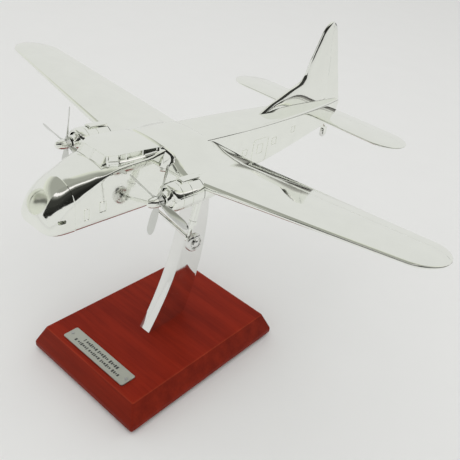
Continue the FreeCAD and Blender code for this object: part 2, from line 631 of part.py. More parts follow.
def make_propeller(side, sign):
    """Four tapered, twisted blades on a drilled hub."""
    reach, chord, depth = size("blade_reach"), size("blade_chord"), size("blade_depth")
    first_angle = {"left": -12.3, "right": -7.6}[side]
    hub = Part.makeCylinder(size("hub_radius"), 2 * size("hub_half_length"), vector(0, -size("hub_half_length"), 0),
                            vector(0, 1, 0))
    rings = [blade_section(0.7, 0.62 * chord, 2.2 * depth, 55), blade_section(0.3 * reach, 0.8 * chord, 1.6 * depth, 46),
             blade_section(0.6 * reach, chord, depth, 32), blade_section(0.85 * reach, 0.9 * chord, 0.8 * depth, 26),
             blade_section(0.96 * reach, 0.6 * chord, 0.6 * depth, 24), blade_section(reach, 0.22 * chord, 0.5 * depth, 23)]
    blade = Part.makeLoft(rings, True, False)
    propeller = hub
    for quarter in range(4):
        turned_blade = blade.copy()
        turned_blade.rotate(vector(0, 0, 0), vector(0, 1, 0), first_angle * -1 + 90 * quarter)
        propeller = propeller.fuse(turned_blade)
    bore = Part.makeCylinder(size("shaft_radius"), 6, vector(0, -3, 0), vector(0, 1, 0))
    propeller = propeller.cut(bore)
    propeller.translate(vector(sign * size("engine_x"), size("disc_y"), size("engine_height")))
    feature("propeller_" + side, propeller)


def make_nacelle(side, sign, wing):
    """The tapering body behind the cowling, let in under the wing, and the air intake on the cowling."""
    x, z, start = sign * size("engine_x"), size("engine_height"), size("cowl_rear_y") + 0.02
    length, radius = size("nacelle_length"), size("cowl_radius") - 0.25
    if side == "left":
        rings = []
        for share, shrink, lift in ((0, 1.0, 0), (0.3, 0.97, 0), (0.6, 0.8, 0.1), (0.85, 0.48, 0.4), (1.0, 0.12, 0.7)):
            rings.append(Part.Wire(Part.makeCircle(radius * shrink, vector(x, start + length * share, z + lift),
                                                   vector(0, 1, 0))))
        nacelle = max(Part.makeLoft(rings, True, False).cut(wing).Solids, key=lambda solid: solid.Volume)
    else:
        nacelle = doc.getObject("nacelle_left").Shape.mirror(vector(0, 0, 0), vector(1, 0, 0))
    feature("nacelle_" + side, nacelle)
    half, top = size("scoop_half_width"), size("scoop_top")
    back = size("cowl_rear_y")
    scoop = Part.makeBox(2 * half, size("scoop_length"), top - z, vector(x - half, back - size("scoop_length"), z))
    upper = [edge for edge in scoop.Edges if abs(edge.CenterOfMass.z - top) < 0.01]
    scoop = scoop.makeFillet(0.5, upper)
    barrel = Part.makeCylinder(size("cowl_radius"), 20, vector(x, back - 15, z), vector(0, 1, 0))
    feature("air_intake_" + side, scoop.cut(barrel).cut(wing))


# Undercarriage

def make_main_gear(side, sign, nacelle, outer):
    x, y, z = sign * size("wheel_x"), size("wheel_y"), size("wheel_height")
    inboard = vector(x - sign * size("axle_inboard"), y, z)
    top = vector(sign * (size("engine_x") + 0.6), size("leg_top_y"), size("engine_height") - 1.5)
    leg = bar(top, inboard, size("leg_radius")).fuse(Part.makeSphere(size("leg_foot_radius"), inboard))
    axle_hole = Part.makeCylinder(size("axle_radius"), 6, inboard - vector(sign * 3, 0, 0), vector(sign, 0, 0))
    feature("main_leg_" + side, leg.cut(nacelle).cut(axle_hole))
    root = vector(sign * (size("body_half_width") - 0.6), size("strut_y"), size("strut_height"))
    strut = bar(root, inboard + vector(0, 0, 0.35), size("strut_radius"))
    feature("side_strut_" + side, strut.cut(leg).cut(outer).cut(axle_hole))
    start = "-(axle_inboard)"
    near, far = "-(wheel_width / 2 + axle_gap)", "wheel_width / 2 + axle_gap"
    centre = ("%d * wheel_x" % sign, "wheel_y", "wheel_height")
    axis = "x" if sign > 0 else "-x"
    keep(place(turned("main_axle_blank_" + side, [
        (start, "0"), (far + " + axle_head_length / 2", "0"), (far + " + axle_head_length / 2", "axle_radius"),
        (start, "axle_radius")]), centre, axis), "main_axle_" + side)
    keep(place(turned("hub_cap_blank_" + side, [
        (far, "axle_radius"), (far, "axle_head_radius"), (far + " + axle_head_length * 0.6", "axle_head_radius"),
        (far + " + axle_head_length", "axle_head_radius * 0.6"), (far + " + axle_head_length", "0"),
        (far + " + axle_head_length / 2", "0"), (far + " + axle_head_length / 2", "axle_radius")]),
        centre, axis), "hub_cap_" + side)
    half = "wheel_width / 2"
    bore = "axle_radius + axle_clearance"
    keep(place(turned("main_wheel_blank_" + side, [
        ("-(%s)" % half, bore), (half, bore), (half, "axle_head_radius + 0.15"),
        (half + " - wheel_recess", "axle_head_radius + 0.3"), (half + " - wheel_recess", "wheel_rim_radius"),
        (half + " - 0.05", "wheel_rim_radius + 0.15"), (half + " - 0.12", "wheel_radius - 0.42"),
        (half + " - 0.4", "wheel_radius - 0.1"), ("0.2", "wheel_radius"), ("-0.2", "wheel_radius"),
        ("-(%s - 0.4)" % half, "wheel_radius - 0.1"), ("-(%s - 0.1)" % half, "wheel_radius - 0.42"),
        ("-(%s)" % half, "wheel_rim_radius")]), centre, axis), "main_wheel_" + side)


def make_tail_gear(outer):
    y, z = size("tail_wheel_y"), size("tail_wheel_height")
    gap, wall, radius = size("fork_half_gap"), size("fork_wall"), size("tail_axle_radius")
    crown = z + size("tail_wheel_radius") + 0.35
    fork = Part.makeBox(2 * (gap + wall), 1.5, 0.6, vector(-gap - wall, y - 0.75, crown))
    for sign in (1, -1):
        left = gap if sign > 0 else -gap - wall
        fork = fork.fuse(Part.makeBox(wall, 1.5, crown - z + 0.1, vector(left, y - 0.75, z)))
        fork = fork.fuse(Part.makeCylinder(0.75, wall, vector(left, y, z), vector(1, 0, 0)))
    fork = fork.fuse(bar(vector(0, y, crown + 0.3), vector(0, y - 1.4, belly(y) + 1.2), 0.5))
    axle = Part.makeCylinder(radius, 2 * (gap + wall), vector(-gap - wall, y, z), vector(1, 0, 0))
    feature("tail_fork", fork.cut(axle).cut(outer))
    keep(place(turned("tail_axle_blank", [
        ("-(fork_half_gap + fork_wall)", "0"), ("fork_half_gap + fork_wall", "0"),
        ("fork_half_gap + fork_wall", "tail_axle_radius"), ("-(fork_half_gap + fork_wall)", "tail_axle_radius")]),
        ("0", "tail_wheel_y", "tail_wheel_height")), "tail_axle")
    half = "tail_wheel_width / 2"
    keep(place(turned("tail_wheel_blank", [
        ("-(%s)" % half, "tail_axle_radius + axle_clearance"), (half, "tail_axle_radius + axle_clearance"),
        (half, "tail_wheel_radius - 0.35"), ("%s - 0.2" % half, "tail_wheel_radius"),
        ("-(%s - 0.2)" % half, "tail_wheel_radius"), ("-(%s)" % half, "tail_wheel_radius - 0.35")]),
        ("0", "tail_wheel_y", "tail_wheel_height")), "tail_wheel")


def check_and_write():
    doc.recompute()
    failed = [item.Label for item in doc.Objects if {"Invalid", "Error"} & set(item.State)]
    if failed:
        raise RuntimeError("these objects failed: %s" % ", ".join(failed))
    os.makedirs("parts", exist_ok=True)
    for item in nodes:
        shape = item.Shape
        if shape.isNull() or not shape.isValid() or not shape.Solids:
            raise RuntimeError("%s has no valid solid" % item.Label)
    for item in nodes:
        item.Shape.exportStep(os.path.join("parts", item.Label + ".step"))
    print("%d sub-parts written" % len(nodes))


def main():
    make_base()
    make_nameplate()
    wings = make_wings()
    outer = make_fuselage(wings)
    make_stand(outer)
    make_canopy(outer)
    fin = make_fin(outer)
    make_tailplane(outer, fin)
    for (side, sign), wing in zip(SIDES, wings):
        make_engine(side, sign, wing)
    for side, sign in SIDES:
        nacelle = doc.getObject("nacelle_" + side).Shape
        make_main_gear(side, sign, nacelle, outer)
    make_tail_gear(outer)
    check_and_write()


main()
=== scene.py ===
"""Looks of the plated freighter model: polished castings, lacquered base, studio and camera.

Lengths in the code are millimetres and are turned into metres when a mesh is made.
"""
import json
from math import atan2, cos, hypot, pi, radians, sin, sqrt

import bmesh
import bpy
from mathutils import Matrix, Vector


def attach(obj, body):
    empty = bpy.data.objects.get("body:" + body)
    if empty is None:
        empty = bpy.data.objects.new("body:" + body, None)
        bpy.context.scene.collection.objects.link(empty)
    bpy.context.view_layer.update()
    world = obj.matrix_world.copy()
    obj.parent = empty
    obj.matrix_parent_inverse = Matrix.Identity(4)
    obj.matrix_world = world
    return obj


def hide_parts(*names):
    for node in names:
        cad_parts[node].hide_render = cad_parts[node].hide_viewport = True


MM = 0.001
AIRFRAME = "airframe_and_stand"
SIDES = (("left", 1), ("right", -1))

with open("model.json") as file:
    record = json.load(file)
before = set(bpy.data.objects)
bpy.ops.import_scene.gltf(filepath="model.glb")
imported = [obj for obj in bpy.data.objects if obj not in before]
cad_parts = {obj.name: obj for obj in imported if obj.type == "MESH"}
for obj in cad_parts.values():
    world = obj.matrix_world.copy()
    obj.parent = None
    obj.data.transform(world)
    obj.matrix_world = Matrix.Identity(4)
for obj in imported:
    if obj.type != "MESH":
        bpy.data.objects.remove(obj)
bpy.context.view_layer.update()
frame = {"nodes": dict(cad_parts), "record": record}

# The aeroplane sits nose-up on its stand; the propeller shafts carry that attitude.
joints = {joint["name"]: joint for joint in frame["record"]["behaviour"]["joints"]}
shaft_axis = joints["propeller_left_spin"]["axis"]
PITCH = atan2(shaft_axis[2], shaft_axis[1])
PIVOT = Matrix.Translation((0, 0, 70.0))
FLIGHT = PIVOT @ Matrix.Rotation(PITCH, 4, "X") @ PIVOT.inverted()
LEVEL_NODES = ("base_block", "felt_pad", "nameplate", "nameplate_pins", "stand_blade")


def box(node):
    """Lowest and highest corner of a CAD node, in millimetres and in its own level or flown frame."""
    cad = frame["nodes"][node]
    turn = Matrix.Identity(4) if node in LEVEL_NODES else FLIGHT.inverted()
    spots = [turn @ (cad.matrix_world @ vertex.co / MM) for vertex in cad.data.vertices]
    return (Vector([min(spot[k] for spot in spots) for k in range(3)]),
            Vector([max(spot[k] for spot in spots) for k in range(3)]))


# ---------------------------------------------------------------- mesh helpers

def piece(name, points, faces, material, body=AIRFRAME, replaces=(), slot="polished_plate", sharp=32,
          level=False):
    """Makes a closed mesh piece that rides on a body and stands for CAD nodes."""
    mesh = bpy.data.meshes.new(name)
    turn = Matrix.Identity(4) if level or (replaces and replaces[0] in LEVEL_NODES) else FLIGHT
    mesh.from_pydata([turn @ Vector(p) * MM for p in points], [], faces)
    work = bmesh.new()
    work.from_mesh(mesh)
    bmesh.ops.remove_doubles(work, verts=work.verts, dist=0.002 * MM)
    bmesh.ops.recalc_face_normals(work, faces=work.faces)
    work.to_mesh(mesh)
    work.free()
    mesh.validate()
    mesh.shade_smooth()
    mesh.set_sharp_from_angle(angle=radians(sharp))
    mesh.materials.append(material)
    item = bpy.data.objects.new(name, mesh)
    bpy.context.scene.collection.objects.link(item)
    if body:
        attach(item, body)
        if replaces:
            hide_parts(*replaces)
    return item


def loft(rings):
    """Points and faces of a skin over rings of equal length, with a cap at each end."""
    count = len(rings[0])
    points = [p for ring in rings for p in ring]
    faces = []
    for k in range(len(rings) - 1):
        for j in range(count):
            a, b = k * count + j, k * count + (j + 1) % count
            faces.append((a, b, b + count, a + count))
    last = (len(rings) - 1) * count
    faces.append(tuple(range(count)))
    faces.append(tuple(range(last, last + count)))
    return points, faces


def joined(*parts):
    """One list of points and faces from several."""
    points, faces = [], []
    for some_points, some_faces in parts:
        start = len(points)
        points += some_points
        faces += [tuple(start + index for index in face) for face in some_faces]
    return points, faces


def lathe(profile, centre, axis, steps=64):
    """Turns a profile of (along, radius) pairs about an axis; a closed one repeats its first pair."""
    axis = Vector(axis).normalized()
    across = axis.orthogonal().normalized()
    other = axis.cross(across)
    closed = profile[0] == profile[-1]
    pairs = profile[:-1] if closed else profile
    points, rows = [], []
    for along, radius in pairs:
        spot = Vector(centre) + axis * along
        if radius < 1e-6:
            rows.append([len(points)] * steps)
            points.append(spot)
            continue
        rows.append(list(range(len(points), len(points) + steps)))
        for k in range(steps):
            turn = 2 * pi * k / steps
            points.append(spot + (across * cos(turn) + other * sin(turn)) * radius)
    faces = []
    spans = list(zip(rows, rows[1:])) + ([(rows[-1], rows[0])] if closed else [])
    for one, two in spans:
        for k in range(steps):
            corner = [one[k], one[(k + 1) % steps], two[(k + 1) % steps], two[k]]
            face = tuple(dict.fromkeys(corner))
            if len(face) > 2:
                faces.append(face)
    if not closed:
        for row in (rows[0], rows[-1]):
            if row[0] != row[1]:
                faces.append(tuple(row))
    return points, faces


def curve(profile, rounds, steps=5):
    """Rounds the inner corners of an open (along, radius) profile by the given radii."""
    result = [profile[0]]
    for k in range(1, len(profile) - 1):
        corner = Vector(profile[k])
        before, after = Vector(profile[k - 1]) - corner, Vector(profile[k + 1]) - corner
        reach = min(rounds[k - 1], before.length * 0.49, after.length * 0.49)
        if reach <= 0:
            result.append(tuple(corner))
            continue
        start, end = corner + before.normalized() * reach, corner + after.normalized() * reach
        for j in range(steps + 1):
            t = j / steps
            spot = start * (1 - t) ** 2 + corner * 2 * t * (1 - t) + end * t ** 2
            result.append(tuple(spot))
    result.append(profile[-1])
    return result


def rod(start, end, radius, end_radius=None, steps=24):
    """A round bar, tapering where the end has a radius of its own."""
    start, end = Vector(start), Vector(end)
    last = radius if end_radius is None else end_radius
    return lathe([(0, 0), (0, radius), ((end - start).length, last), ((end - start).length, 0)],
                 start, end - start, steps)


def soften(item, width, segments, angle):
    """Rounds a piece's crisp edges so that they catch the light."""
    bevel = item.modifiers.new("edges", "BEVEL")
    bevel.width = width * MM
    bevel.segments = segments
    bevel.limit_method = "ANGLE"
    bevel.angle_limit = radians(angle)
    bevel.harden_normals = True


def smoothstep(low, high, value):
    t = min(max((value - low) / (high - low), 0.0), 1.0)
    return t * t * (3 - 2 * t)


# ---------------------------------------------------------------- materials

def shader(name):
    material = bpy.data.materials.new(name)
    material.use_nodes = True
    nodes, links = material.node_tree.nodes, material.node_tree.links
    return material, nodes, links, nodes["Principled BSDF"]


def noise(nodes, links, scale, detail, stretch=(1, 1, 1)):
    """A noise value in the object's own space."""
    coordinates = nodes.new("ShaderNodeTexCoord")
    mapping = nodes.new("ShaderNodeMapping")
    mapping.inputs["Scale"].default_value = stretch
    links.new(coordinates.outputs["Object"], mapping.inputs["Vector"])
    texture = nodes.new("ShaderNodeTexNoise")
    texture.inputs["Scale"].default_value = scale
    texture.inputs["Detail"].default_value = detail
    links.new(mapping.outputs["Vector"], texture.inputs["Vector"])
    return texture.outputs["Fac"]


def spread(nodes, links, source, low, high, start=0.0, end=1.0):
    """A value between start and end, spread between two limits."""
    span = nodes.new("ShaderNodeMapRange")
    span.inputs["From Min"].default_value = start
    span.inputs["From Max"].default_value = end
    span.inputs["To Min"].default_value = low
    span.inputs["To Max"].default_value = high
    links.new(source, span.inputs["Value"])
    return span.outputs["Result"]


def colour_ramp(nodes, links, source, stops):
    """Turns a value into a colour through (position, colour) stops."""
    ramp = nodes.new("ShaderNodeValToRGB")
    elements = ramp.color_ramp.elements
    for element, (position, colour) in zip(elements, (stops[0], stops[-1])):
        element.position = position
        element.color = (*colour, 1)
    for position, colour in stops[1:-1]:
        elements.new(position).color = (*colour, 1)
    links.new(source, ramp.inputs["Fac"])
    return ramp.outputs["Color"]


def object_height(nodes, links):
    """Height in the object's own space, in metres."""
    coordinates = nodes.new("ShaderNodeTexCoord")
    split = nodes.new("ShaderNodeSeparateXYZ")
    links.new(coordinates.outputs["Object"], split.inputs["Vector"])
    return split.outputs["Z"]


def bump(nodes, links, bsdf, source, strength, distance):
    relief = nodes.new("ShaderNodeBump")
    relief.inputs["Strength"].default_value = strength
    relief.inputs["Distance"].default_value = distance
    links.new(source, relief.inputs["Height"])
    links.new(relief.outputs["Normal"], bsdf.inputs["Normal"])


def metal(name, colour, low, high, ripple=0.0):
    """Plated metal: a little uneven in its polish, with the faint ripple of a hand-finished casting."""
    material, nodes, links, bsdf = shader(name)
    bsdf.inputs["Metallic"].default_value = 1.0
    cloud = noise(nodes, links, 180.0, 4.0)
    dull = [part * 0.97 for part in colour]
    links.new(colour_ramp(nodes, links, cloud, ((0.3, dull), (0.7, colour))), bsdf.inputs["Base Color"])
    links.new(spread(nodes, links, cloud, low, high, 0.35, 0.65), bsdf.inputs["Roughness"])
    if ripple:
        bump(nodes, links, bsdf, noise(nodes, links, 130.0, 1.5), ripple, 0.00006)
    return material


def lacquered_wood():
    """Red-brown grain, with painted shade darkening the sloped sides and a painted highlight lightening a
    band along the upper edge.
    """
    material, nodes, links, bsdf = shader("lacquered_wood")
    grain = noise(nodes, links, 260.0, 8.0, (0.12, 1.0, 1.0))
    pores = noise(nodes, links, 1500.0, 2.0, (0.05, 1.0, 1.0))
    mix = nodes.new("ShaderNodeMath")
    mix.operation = "MULTIPLY_ADD"
    mix.inputs[1].default_value = 0.35
    links.new(pores, mix.inputs[0])
    links.new(grain, mix.inputs[2])
    figure = colour_ramp(nodes, links, mix.outputs["Value"],
                         ((0.42, (0.180, 0.0115, 0.0048)), (0.85, (0.290, 0.0205, 0.0080))))
    # Painted shade and painted highlight by height: the slopes below the top are darkened, and a band just
    # under the top edge is lightened.
    rise = spread(nodes, links, object_height(nodes, links), 0.0, 1.0, 0.0090, 0.0096)
    shade = colour_ramp(nodes, links, rise, ((0.25, (0.80, 0.92, 0.86)), (0.45, (1.2, 2.0, 2.0)),
                                             (0.75, (1.2, 1.8, 1.8)), (0.98, (1.0, 1.0, 1.0))))
    tone = nodes.new("ShaderNodeMix")
    tone.data_type = "RGBA"
    tone.blend_type = "MULTIPLY"
    tone.inputs["Factor"].default_value = 1.0
    links.new(figure, tone.inputs["A"])
    links.new(shade, tone.inputs["B"])
    links.new(tone.outputs["Result"], bsdf.inputs["Base Color"])
    links.new(spread(nodes, links, grain, 0.34, 0.46), bsdf.inputs["Roughness"])
    bsdf.inputs["IOR"].default_value = 1.32
    bsdf.inputs["Specular IOR Level"].default_value = 0.12
    bsdf.inputs["Coat Weight"].default_value = 0.03
    bsdf.inputs["Coat Roughness"].default_value = 0.2
    bump(nodes, links, bsdf, mix.outputs["Value"], 0.25, 0.00003)
    return material


def felt():
    material, nodes, links, bsdf = shader("felt")
    fibre = noise(nodes, links, 2600.0, 6.0)
    tone = colour_ramp(nodes, links, fibre, ((0.0, (0.012, 0.016, 0.013)), (1.0, (0.05, 0.06, 0.05))))
    links.new(tone, bsdf.inputs["Base Color"])
    bsdf.inputs["Roughness"].default_value = 0.95
    bsdf.inputs["Sheen Weight"].default_value = 0.4
    bump(nodes, links, bsdf, fibre, 0.6, 0.0001)
    return material


def ink():
    material, nodes, links, bsdf = shader("worn_ink")
    wear = noise(nodes, links, 900.0, 3.0)
    tone = colour_ramp(nodes, links, wear, ((0.0, (0.015, 0.015, 0.014)), (1.0, (0.07, 0.07, 0.065))))
    links.new(tone, bsdf.inputs["Base Color"])
    bsdf.inputs["Roughness"].default_value = 0.6
    return material


def pale_floor():
    material, nodes, links, bsdf = shader("pale_floor")
    paper = noise(nodes, links, 40.0, 4.0)
    tone = colour_ramp(nodes, links, paper, ((0.0, (0.85, 0.85, 0.845)), (1.0, (0.87, 0.87, 0.865))))
    links.new(tone, bsdf.inputs["Base Color"])
    bsdf.inputs["Roughness"].default_value = 0.7
    bsdf.inputs["Specular IOR Level"].default_value = 0.2
    return material


PLATED = metal("bright_plating", (0.925, 0.94, 0.89), 0.045, 0.09, 0.12)
RADOME_PLATED = metal("radome_plating", (0.84, 0.87, 0.75), 0.30, 0.38, 0.05)
SATIN_PLATED = metal("airscrew_plating", (0.68, 0.69, 0.66), 0.09, 0.16, 0.1)
STAND_PLATED = metal("stand_plating", (0.86, 0.86, 0.84), 0.035, 0.08, 0.05)
WHEEL_PLATED = metal("wheel_plating", (0.80, 0.80, 0.78), 0.10, 0.18, 0.1)
DARK_METAL = metal("recess_plating", (0.32, 0.31, 0.29), 0.25, 0.4, 0.1)
PLATE = metal("satin_nameplate", (0.50, 0.51, 0.46), 0.30, 0.40, 0.05)
STEEL = metal("zinc_steel", (0.5, 0.5, 0.5), 0.22, 0.36)
BRASS = metal("turned_brass", (0.72, 0.52, 0.24), 0.15, 0.28)
WOOD = lacquered_wood()
INK = ink()
FELT = felt()

CARRIED_OVER = {"wood": WOOD, "fabric": FELT, "brass": BRASS, "brushed_steel": STEEL, "chrome": PLATED}
classes = {entry["slot"]: entry["class"] for entry in frame["record"]["materials"]}
for entry in frame["record"]["subparts"]:
    cad = frame["nodes"][entry["node"]]
    for material_slot in cad.material_slots:
        material_slot.material = CARRIED_OVER[classes[entry["material_slot"]]]

for node in ("tail_wheel", "tail_axle"):
    for material_slot in frame["nodes"][node].material_slots:
        material_slot.material = WHEEL_PLATED

# ---------------------------------------------------------------- base, nameplate and stand

base_low, base_high = box("base_block")
plate_low, plate_high = box("nameplate")
blade_low, blade_high = box("stand_blade")


def rounded_rectangle(half_x, half_y, radius, z, steps=8):
    points = []
    for corner_x, corner_y, start in ((1, 1, 0), (-1, 1, 90), (-1, -1, 180), (1, -1, 270)):
        for k in range(steps + 1):
            turn = radians(start + 90 * k / steps)
            points.append((corner_x * (half_x - radius) + radius * cos(turn),
                           corner_y * (half_y - radius) + radius * sin(turn), z))
    return points


def make_base():
    """A block with a flat top, sloped sides and a rounded band at the foot."""
    half_x, half_y = base_high.x, base_high.y
    top, band = base_high.z, base_low.z + 2.2
    flare = 2.94
    profile = [(0.45, base_low.z), (0.0, base_low.z + 0.5), (0.0, band), (flare, top), (flare + 1.2, top)]
    rounded = curve(profile, [0.3, 0.5, 0.3], 5)
    rings = [rounded_rectangle(half_x - inset, half_y - inset, max(0.7 - 0.1 * inset, 0.25), z)
             for inset, z in rounded]
    rings.insert(0, rounded_rectangle(half_x - 2, half_y - 2, 1, base_low.z))
    piece("lacquered_base", *loft(rings), WOOD, replaces=("base_block",), slot="lacquered_wood", sharp=60)


def make_nameplate():
    """A thin plate with rounded corners and two rows of worn marks that spell nothing."""
    centre = (plate_low + plate_high) / 2
    half_x, half_y = (plate_high.x - plate_low.x) / 2, (plate_high.y - plate_low.y) / 2
    rings = []
    for inset, z in ((0, plate_low.z), (0, plate_high.z - 0.12), (0.12, plate_high.z), (0.5, plate_high.z)):
        ring = rounded_rectangle(half_x - inset, half_y - inset, 0.55 - inset * 0.4, z, 5)
        rings.append([(x, y + centre.y, z) for x, y, z in ring])
    piece("satin_nameplate", *loft(rings), PLATE, replaces=("nameplate",), slot="plate_metal", sharp=25)
    marks = []
    for row, (y, height, reach) in enumerate(((0.82, 1.2, half_x - 6.4), (-0.92, 1.1, half_x - 4.0))):
        x, count = -reach, 0
        while x < reach:
            long = 0.36 + 0.34 * abs(sin(2.3 * count + 1.7 * row))
            tall = height * (0.75 + 0.25 * cos(1.9 * count + row))
            outline = rounded_rectangle(long / 2, tall / 2, 0.08, plate_high.z - 0.02, 3)
            raised = rounded_rectangle(long / 2 - 0.02, tall / 2 - 0.02, 0.07, plate_high.z + 0.03, 3)
            spot = Vector((x + long / 2, centre.y + y, 0))
            marks.append(loft([[Vector(p) + spot for p in outline], [Vector(p) + spot for p in raised]]))
            x += long + (0.28 if count % 6 else 0.75)
            count += 1
    piece("nameplate_marks", *joined(*marks), INK, slot="plate_metal", sharp=25, level=True)


def arc_through(a, b, c, steps):
    """Points along the circle through three points of a plane."""
    (ax, ay), (bx, by), (cx, cy) = a, b, c
    d = 2 * (ax * (by - cy) + bx * (cy - ay) + cx * (ay - by))
    ux = ((ax**2 + ay**2) * (by - cy) + (bx**2 + by**2) * (cy - ay) + (cx**2 + cy**2) * (ay - by)) / d
    uy = ((ax**2 + ay**2) * (cx - bx) + (bx**2 + by**2) * (ax - cx) + (cx**2 + cy**2) * (bx - ax)) / d
    radius = hypot(ax - ux, ay - uy)
    start, end = atan2(ay - uy, ax - ux), atan2(cy - uy, cx - ux)
    if end - start > pi:
        end -= 2 * pi
    if start - end > pi:
        end += 2 * pi
    return [(ux + radius * cos(start + (end - start) * k / steps),
             uy + radius * sin(start + (end - start) * k / steps)) for k in range(steps + 1)]


def make_stand():
    """The blade: two long arcs in side view, with finely rounded edges."""
    foot, top = blade_low.z, blade_high.z
    half = blade_high.x
    front = arc_through((blade_low.y, foot), (4.2, 33.0), (9.65, top - 0.35), 40)
    rear = arc_through((9.0, foot), (15.4, 30.3), (16.6, top - 0.85), 40)
    rounding, bulge, steps = 0.15, 0.45, 14
    rings = []
    for (front_y, front_z), (rear_y, rear_z) in zip(front, rear):
        side = []
        for k in range(steps + 1):
            share = 0.5 - 0.5 * cos(pi * k / steps)
            side.append((half - bulge * max(2 * share - 0.9, 0) ** 2, front_y + (rear_y - front_y) * share,
                         front_z + (rear_z - front_z) * share))
        ends = [(side[0][0] - rounding, front_y, front_z), (side[-1][0] - rounding, rear_y, rear_z)]
        side[0] = (side[0][0] - 0.08, front_y + 0.08, front_z)
        side[-1] = (side[-1][0] - 0.08, rear_y - 0.08, rear_z)
        ring = [ends[0]] + side + [ends[1]]
        rings.append(ring + [(-x, y, z) for x, y, z in reversed(ring)])
    piece("curved_blade", *loft(rings), STAND_PLATED, replaces=("stand_blade",), slot="stand_plate", sharp=50)


# ---------------------------------------------------------------- fuselage

hull_low, hull_high = box("fuselage_left_half")
nose_low, nose_high = box("nose_cap")
SEAM_Y, TAIL_Y = hull_low.y, hull_high.y
SCREEN_Y, WING_FRONT_Y, HOLD_END_Y = -25.0, -9.5, 14.0
BELLY_Z, ROOF_Z = hull_low.z, hull_high.z


def between(points, y):
    """A smooth line through (y, value) points that doesn't overshoot them."""
    if y <= points[0][0]:
        return points[0][1]
    if y >= points[-1][0]:
        return points[-1][1]

    def rise(k):
        return (points[k + 1][1] - points[k][1]) / (points[k + 1][0] - points[k][0])

    def slope(k):
        if k == 0 or k == len(points) - 1:
            return rise(min(k, len(points) - 2))
        before, after = rise(k - 1), rise(k)
        return 2 * before * after / (before + after) if before * after > 0 else 0.0

    k = max(j for j in range(len(points) - 1) if points[j][0] <= y)
    (y0, v0), (y1, v1) = points[k], points[k + 1]
    t, gap = (y - y0) / (y1 - y0), y1 - y0
    return (v0 * (1 + 2 * t) * (1 - t) ** 2 + slope(k) * gap * t * (1 - t) ** 2
            + v1 * t * t * (3 - 2 * t) + slope(k + 1) * gap * t * t * (t - 1))


def hull_half_width(y):
    return hull_high.x * (1 - (max(y - HOLD_END_Y, 0) / 77.0) ** 2)


def hull_belly(y):
    return BELLY_Z + 0.6 - 0.027 * max(-11.0 - y, 0) + 0.137 * max(y - 20.0, 0)


def hull_roof(y):
    return between(((SEAM_Y, 73.6), (-31.5, 74.4), (-29.5, 75.0), (-27.0, 75.75), (SCREEN_Y, 76.2),
                    (-21.0, 76.7), (-12.0, 77.2), (-9.5, 77.8), (-7.0, ROOF_Z), (90.0, ROOF_Z)), y)


def hull_side_top(y):
    """Height where the flat side turns in to the shoulder."""
    return between(((SEAM_Y, 68.2), (-32.3, 69.1), (-29.5, 71.5), (-26.9, 73.3), (-24.5, 74.5), (-22.0, 75.2),
                    (-12.0, 75.8), (-7.0, ROOF_Z - 1.5), (60.0, ROOF_Z - 1.4), (90.0, ROOF_Z - 1.0)), y)


def hull_squareness(y):
    """Power of the superellipse across the top: round at the nose, boxy along the hold."""
    return between(((SEAM_Y, 2.0), (-24.5, 2.0), (-19.0, 3.2), (-7.0, 4.0), (90.0, 4.0)), y)


def half_section(y, width, low, side_top, high, lower, power, sign):
    """Half of a hull section, from the keel out round the side to the middle of the roof."""
    lower = min(lower, width * 0.4)
    spots = []
    for share in (0, 0.4, 0.75, 0.95):
        spots.append(((width - lower) * share, low))
    for k in range(7):
        turn = radians(-90 + 90 * k / 6)
        spots.append((width - lower + lower * cos(turn), low + lower + lower * sin(turn)))
    side_low = low + lower
    for share in (0.04, 0.2, 0.5, 0.8, 0.96):
        spots.append((width, side_low + (side_top - side_low) * share))
    for k in range(29):
        turn = radians(90 * k / 28)
        across, up = cos(turn), sin(turn)
        spots.append((width * across ** (2 / power) if across > 1e-9 else 0.0,
                      side_top + (high - side_top) * (up ** (2 / power) if up > 1e-9 else 0.0)))
    return [(sign * x, y, z) for x, z in spots]


def frame_path(y0, y1, z0, z1, radius, steps=5):
    """A rounded rectangle in side view."""
    path = []
    for cy, cz, start in ((y1, z1, 0), (y0, z1, 90), (y0, z0, 180), (y1, z0, 270)):
        sy, sz = (1 if cy == y1 else -1), (1 if cz == z1 else -1)
        for k in range(steps + 1):
            turn = radians(start + 90 * k / steps)
            path.append((cy - sy * radius + radius * cos(turn),
                         cz - sz * radius + radius * sin(turn)))
    return path


def frame_cutter(path, width, depth, sign):
    """A closed ribbon of square section that follows a path on the hull's side, to cut a groove."""
    rings = []
    count = len(path)
    for k, (y, z) in enumerate(path):
        before, after = Vector(path[k - 1]), Vector(path[(k + 1) % count])
        along = (after - before).normalized()
        across = Vector((-along.y, along.x)) * width / 2
        x = hull_half_width(y)
        rings.append([(sign * (x + out), y + side * across.x, z + side * across.y)
                      for out, side in ((-depth, -1), (-depth, 1), (0.3, 1), (0.3, -1))])
    points = [p for ring in rings for p in ring]
    faces = []
    for k in range(count):
        for j in range(4):
            a, b = 4 * k + j, 4 * k + (j + 1) % 4
            c, d = 4 * ((k + 1) % count) + (j + 1) % 4, 4 * ((k + 1) % count) + j
            faces.append((a, b, c, d))
    return points, faces


def carve(item, parts):
    """Cuts closed forms out of a piece and keeps the result as its mesh."""
    cutter = piece("cutter", *joined(*parts), PLATED, body=None)
    cut = item.modifiers.new("grooves", "BOOLEAN")
    cut.operation = "DIFFERENCE"
    cut.solver = "EXACT"
    cut.object = cutter
    graph = bpy.context.evaluated_depsgraph_get()
    result = bpy.data.meshes.new_from_object(item.evaluated_get(graph))
    item.modifiers.clear()
    old = item.data
    item.data = result
    result.name = old.name
    bpy.data.meshes.remove(old)
    bpy.data.objects.remove(cutter)
    result.shade_smooth()
    result.set_sharp_from_angle(angle=radians(32))


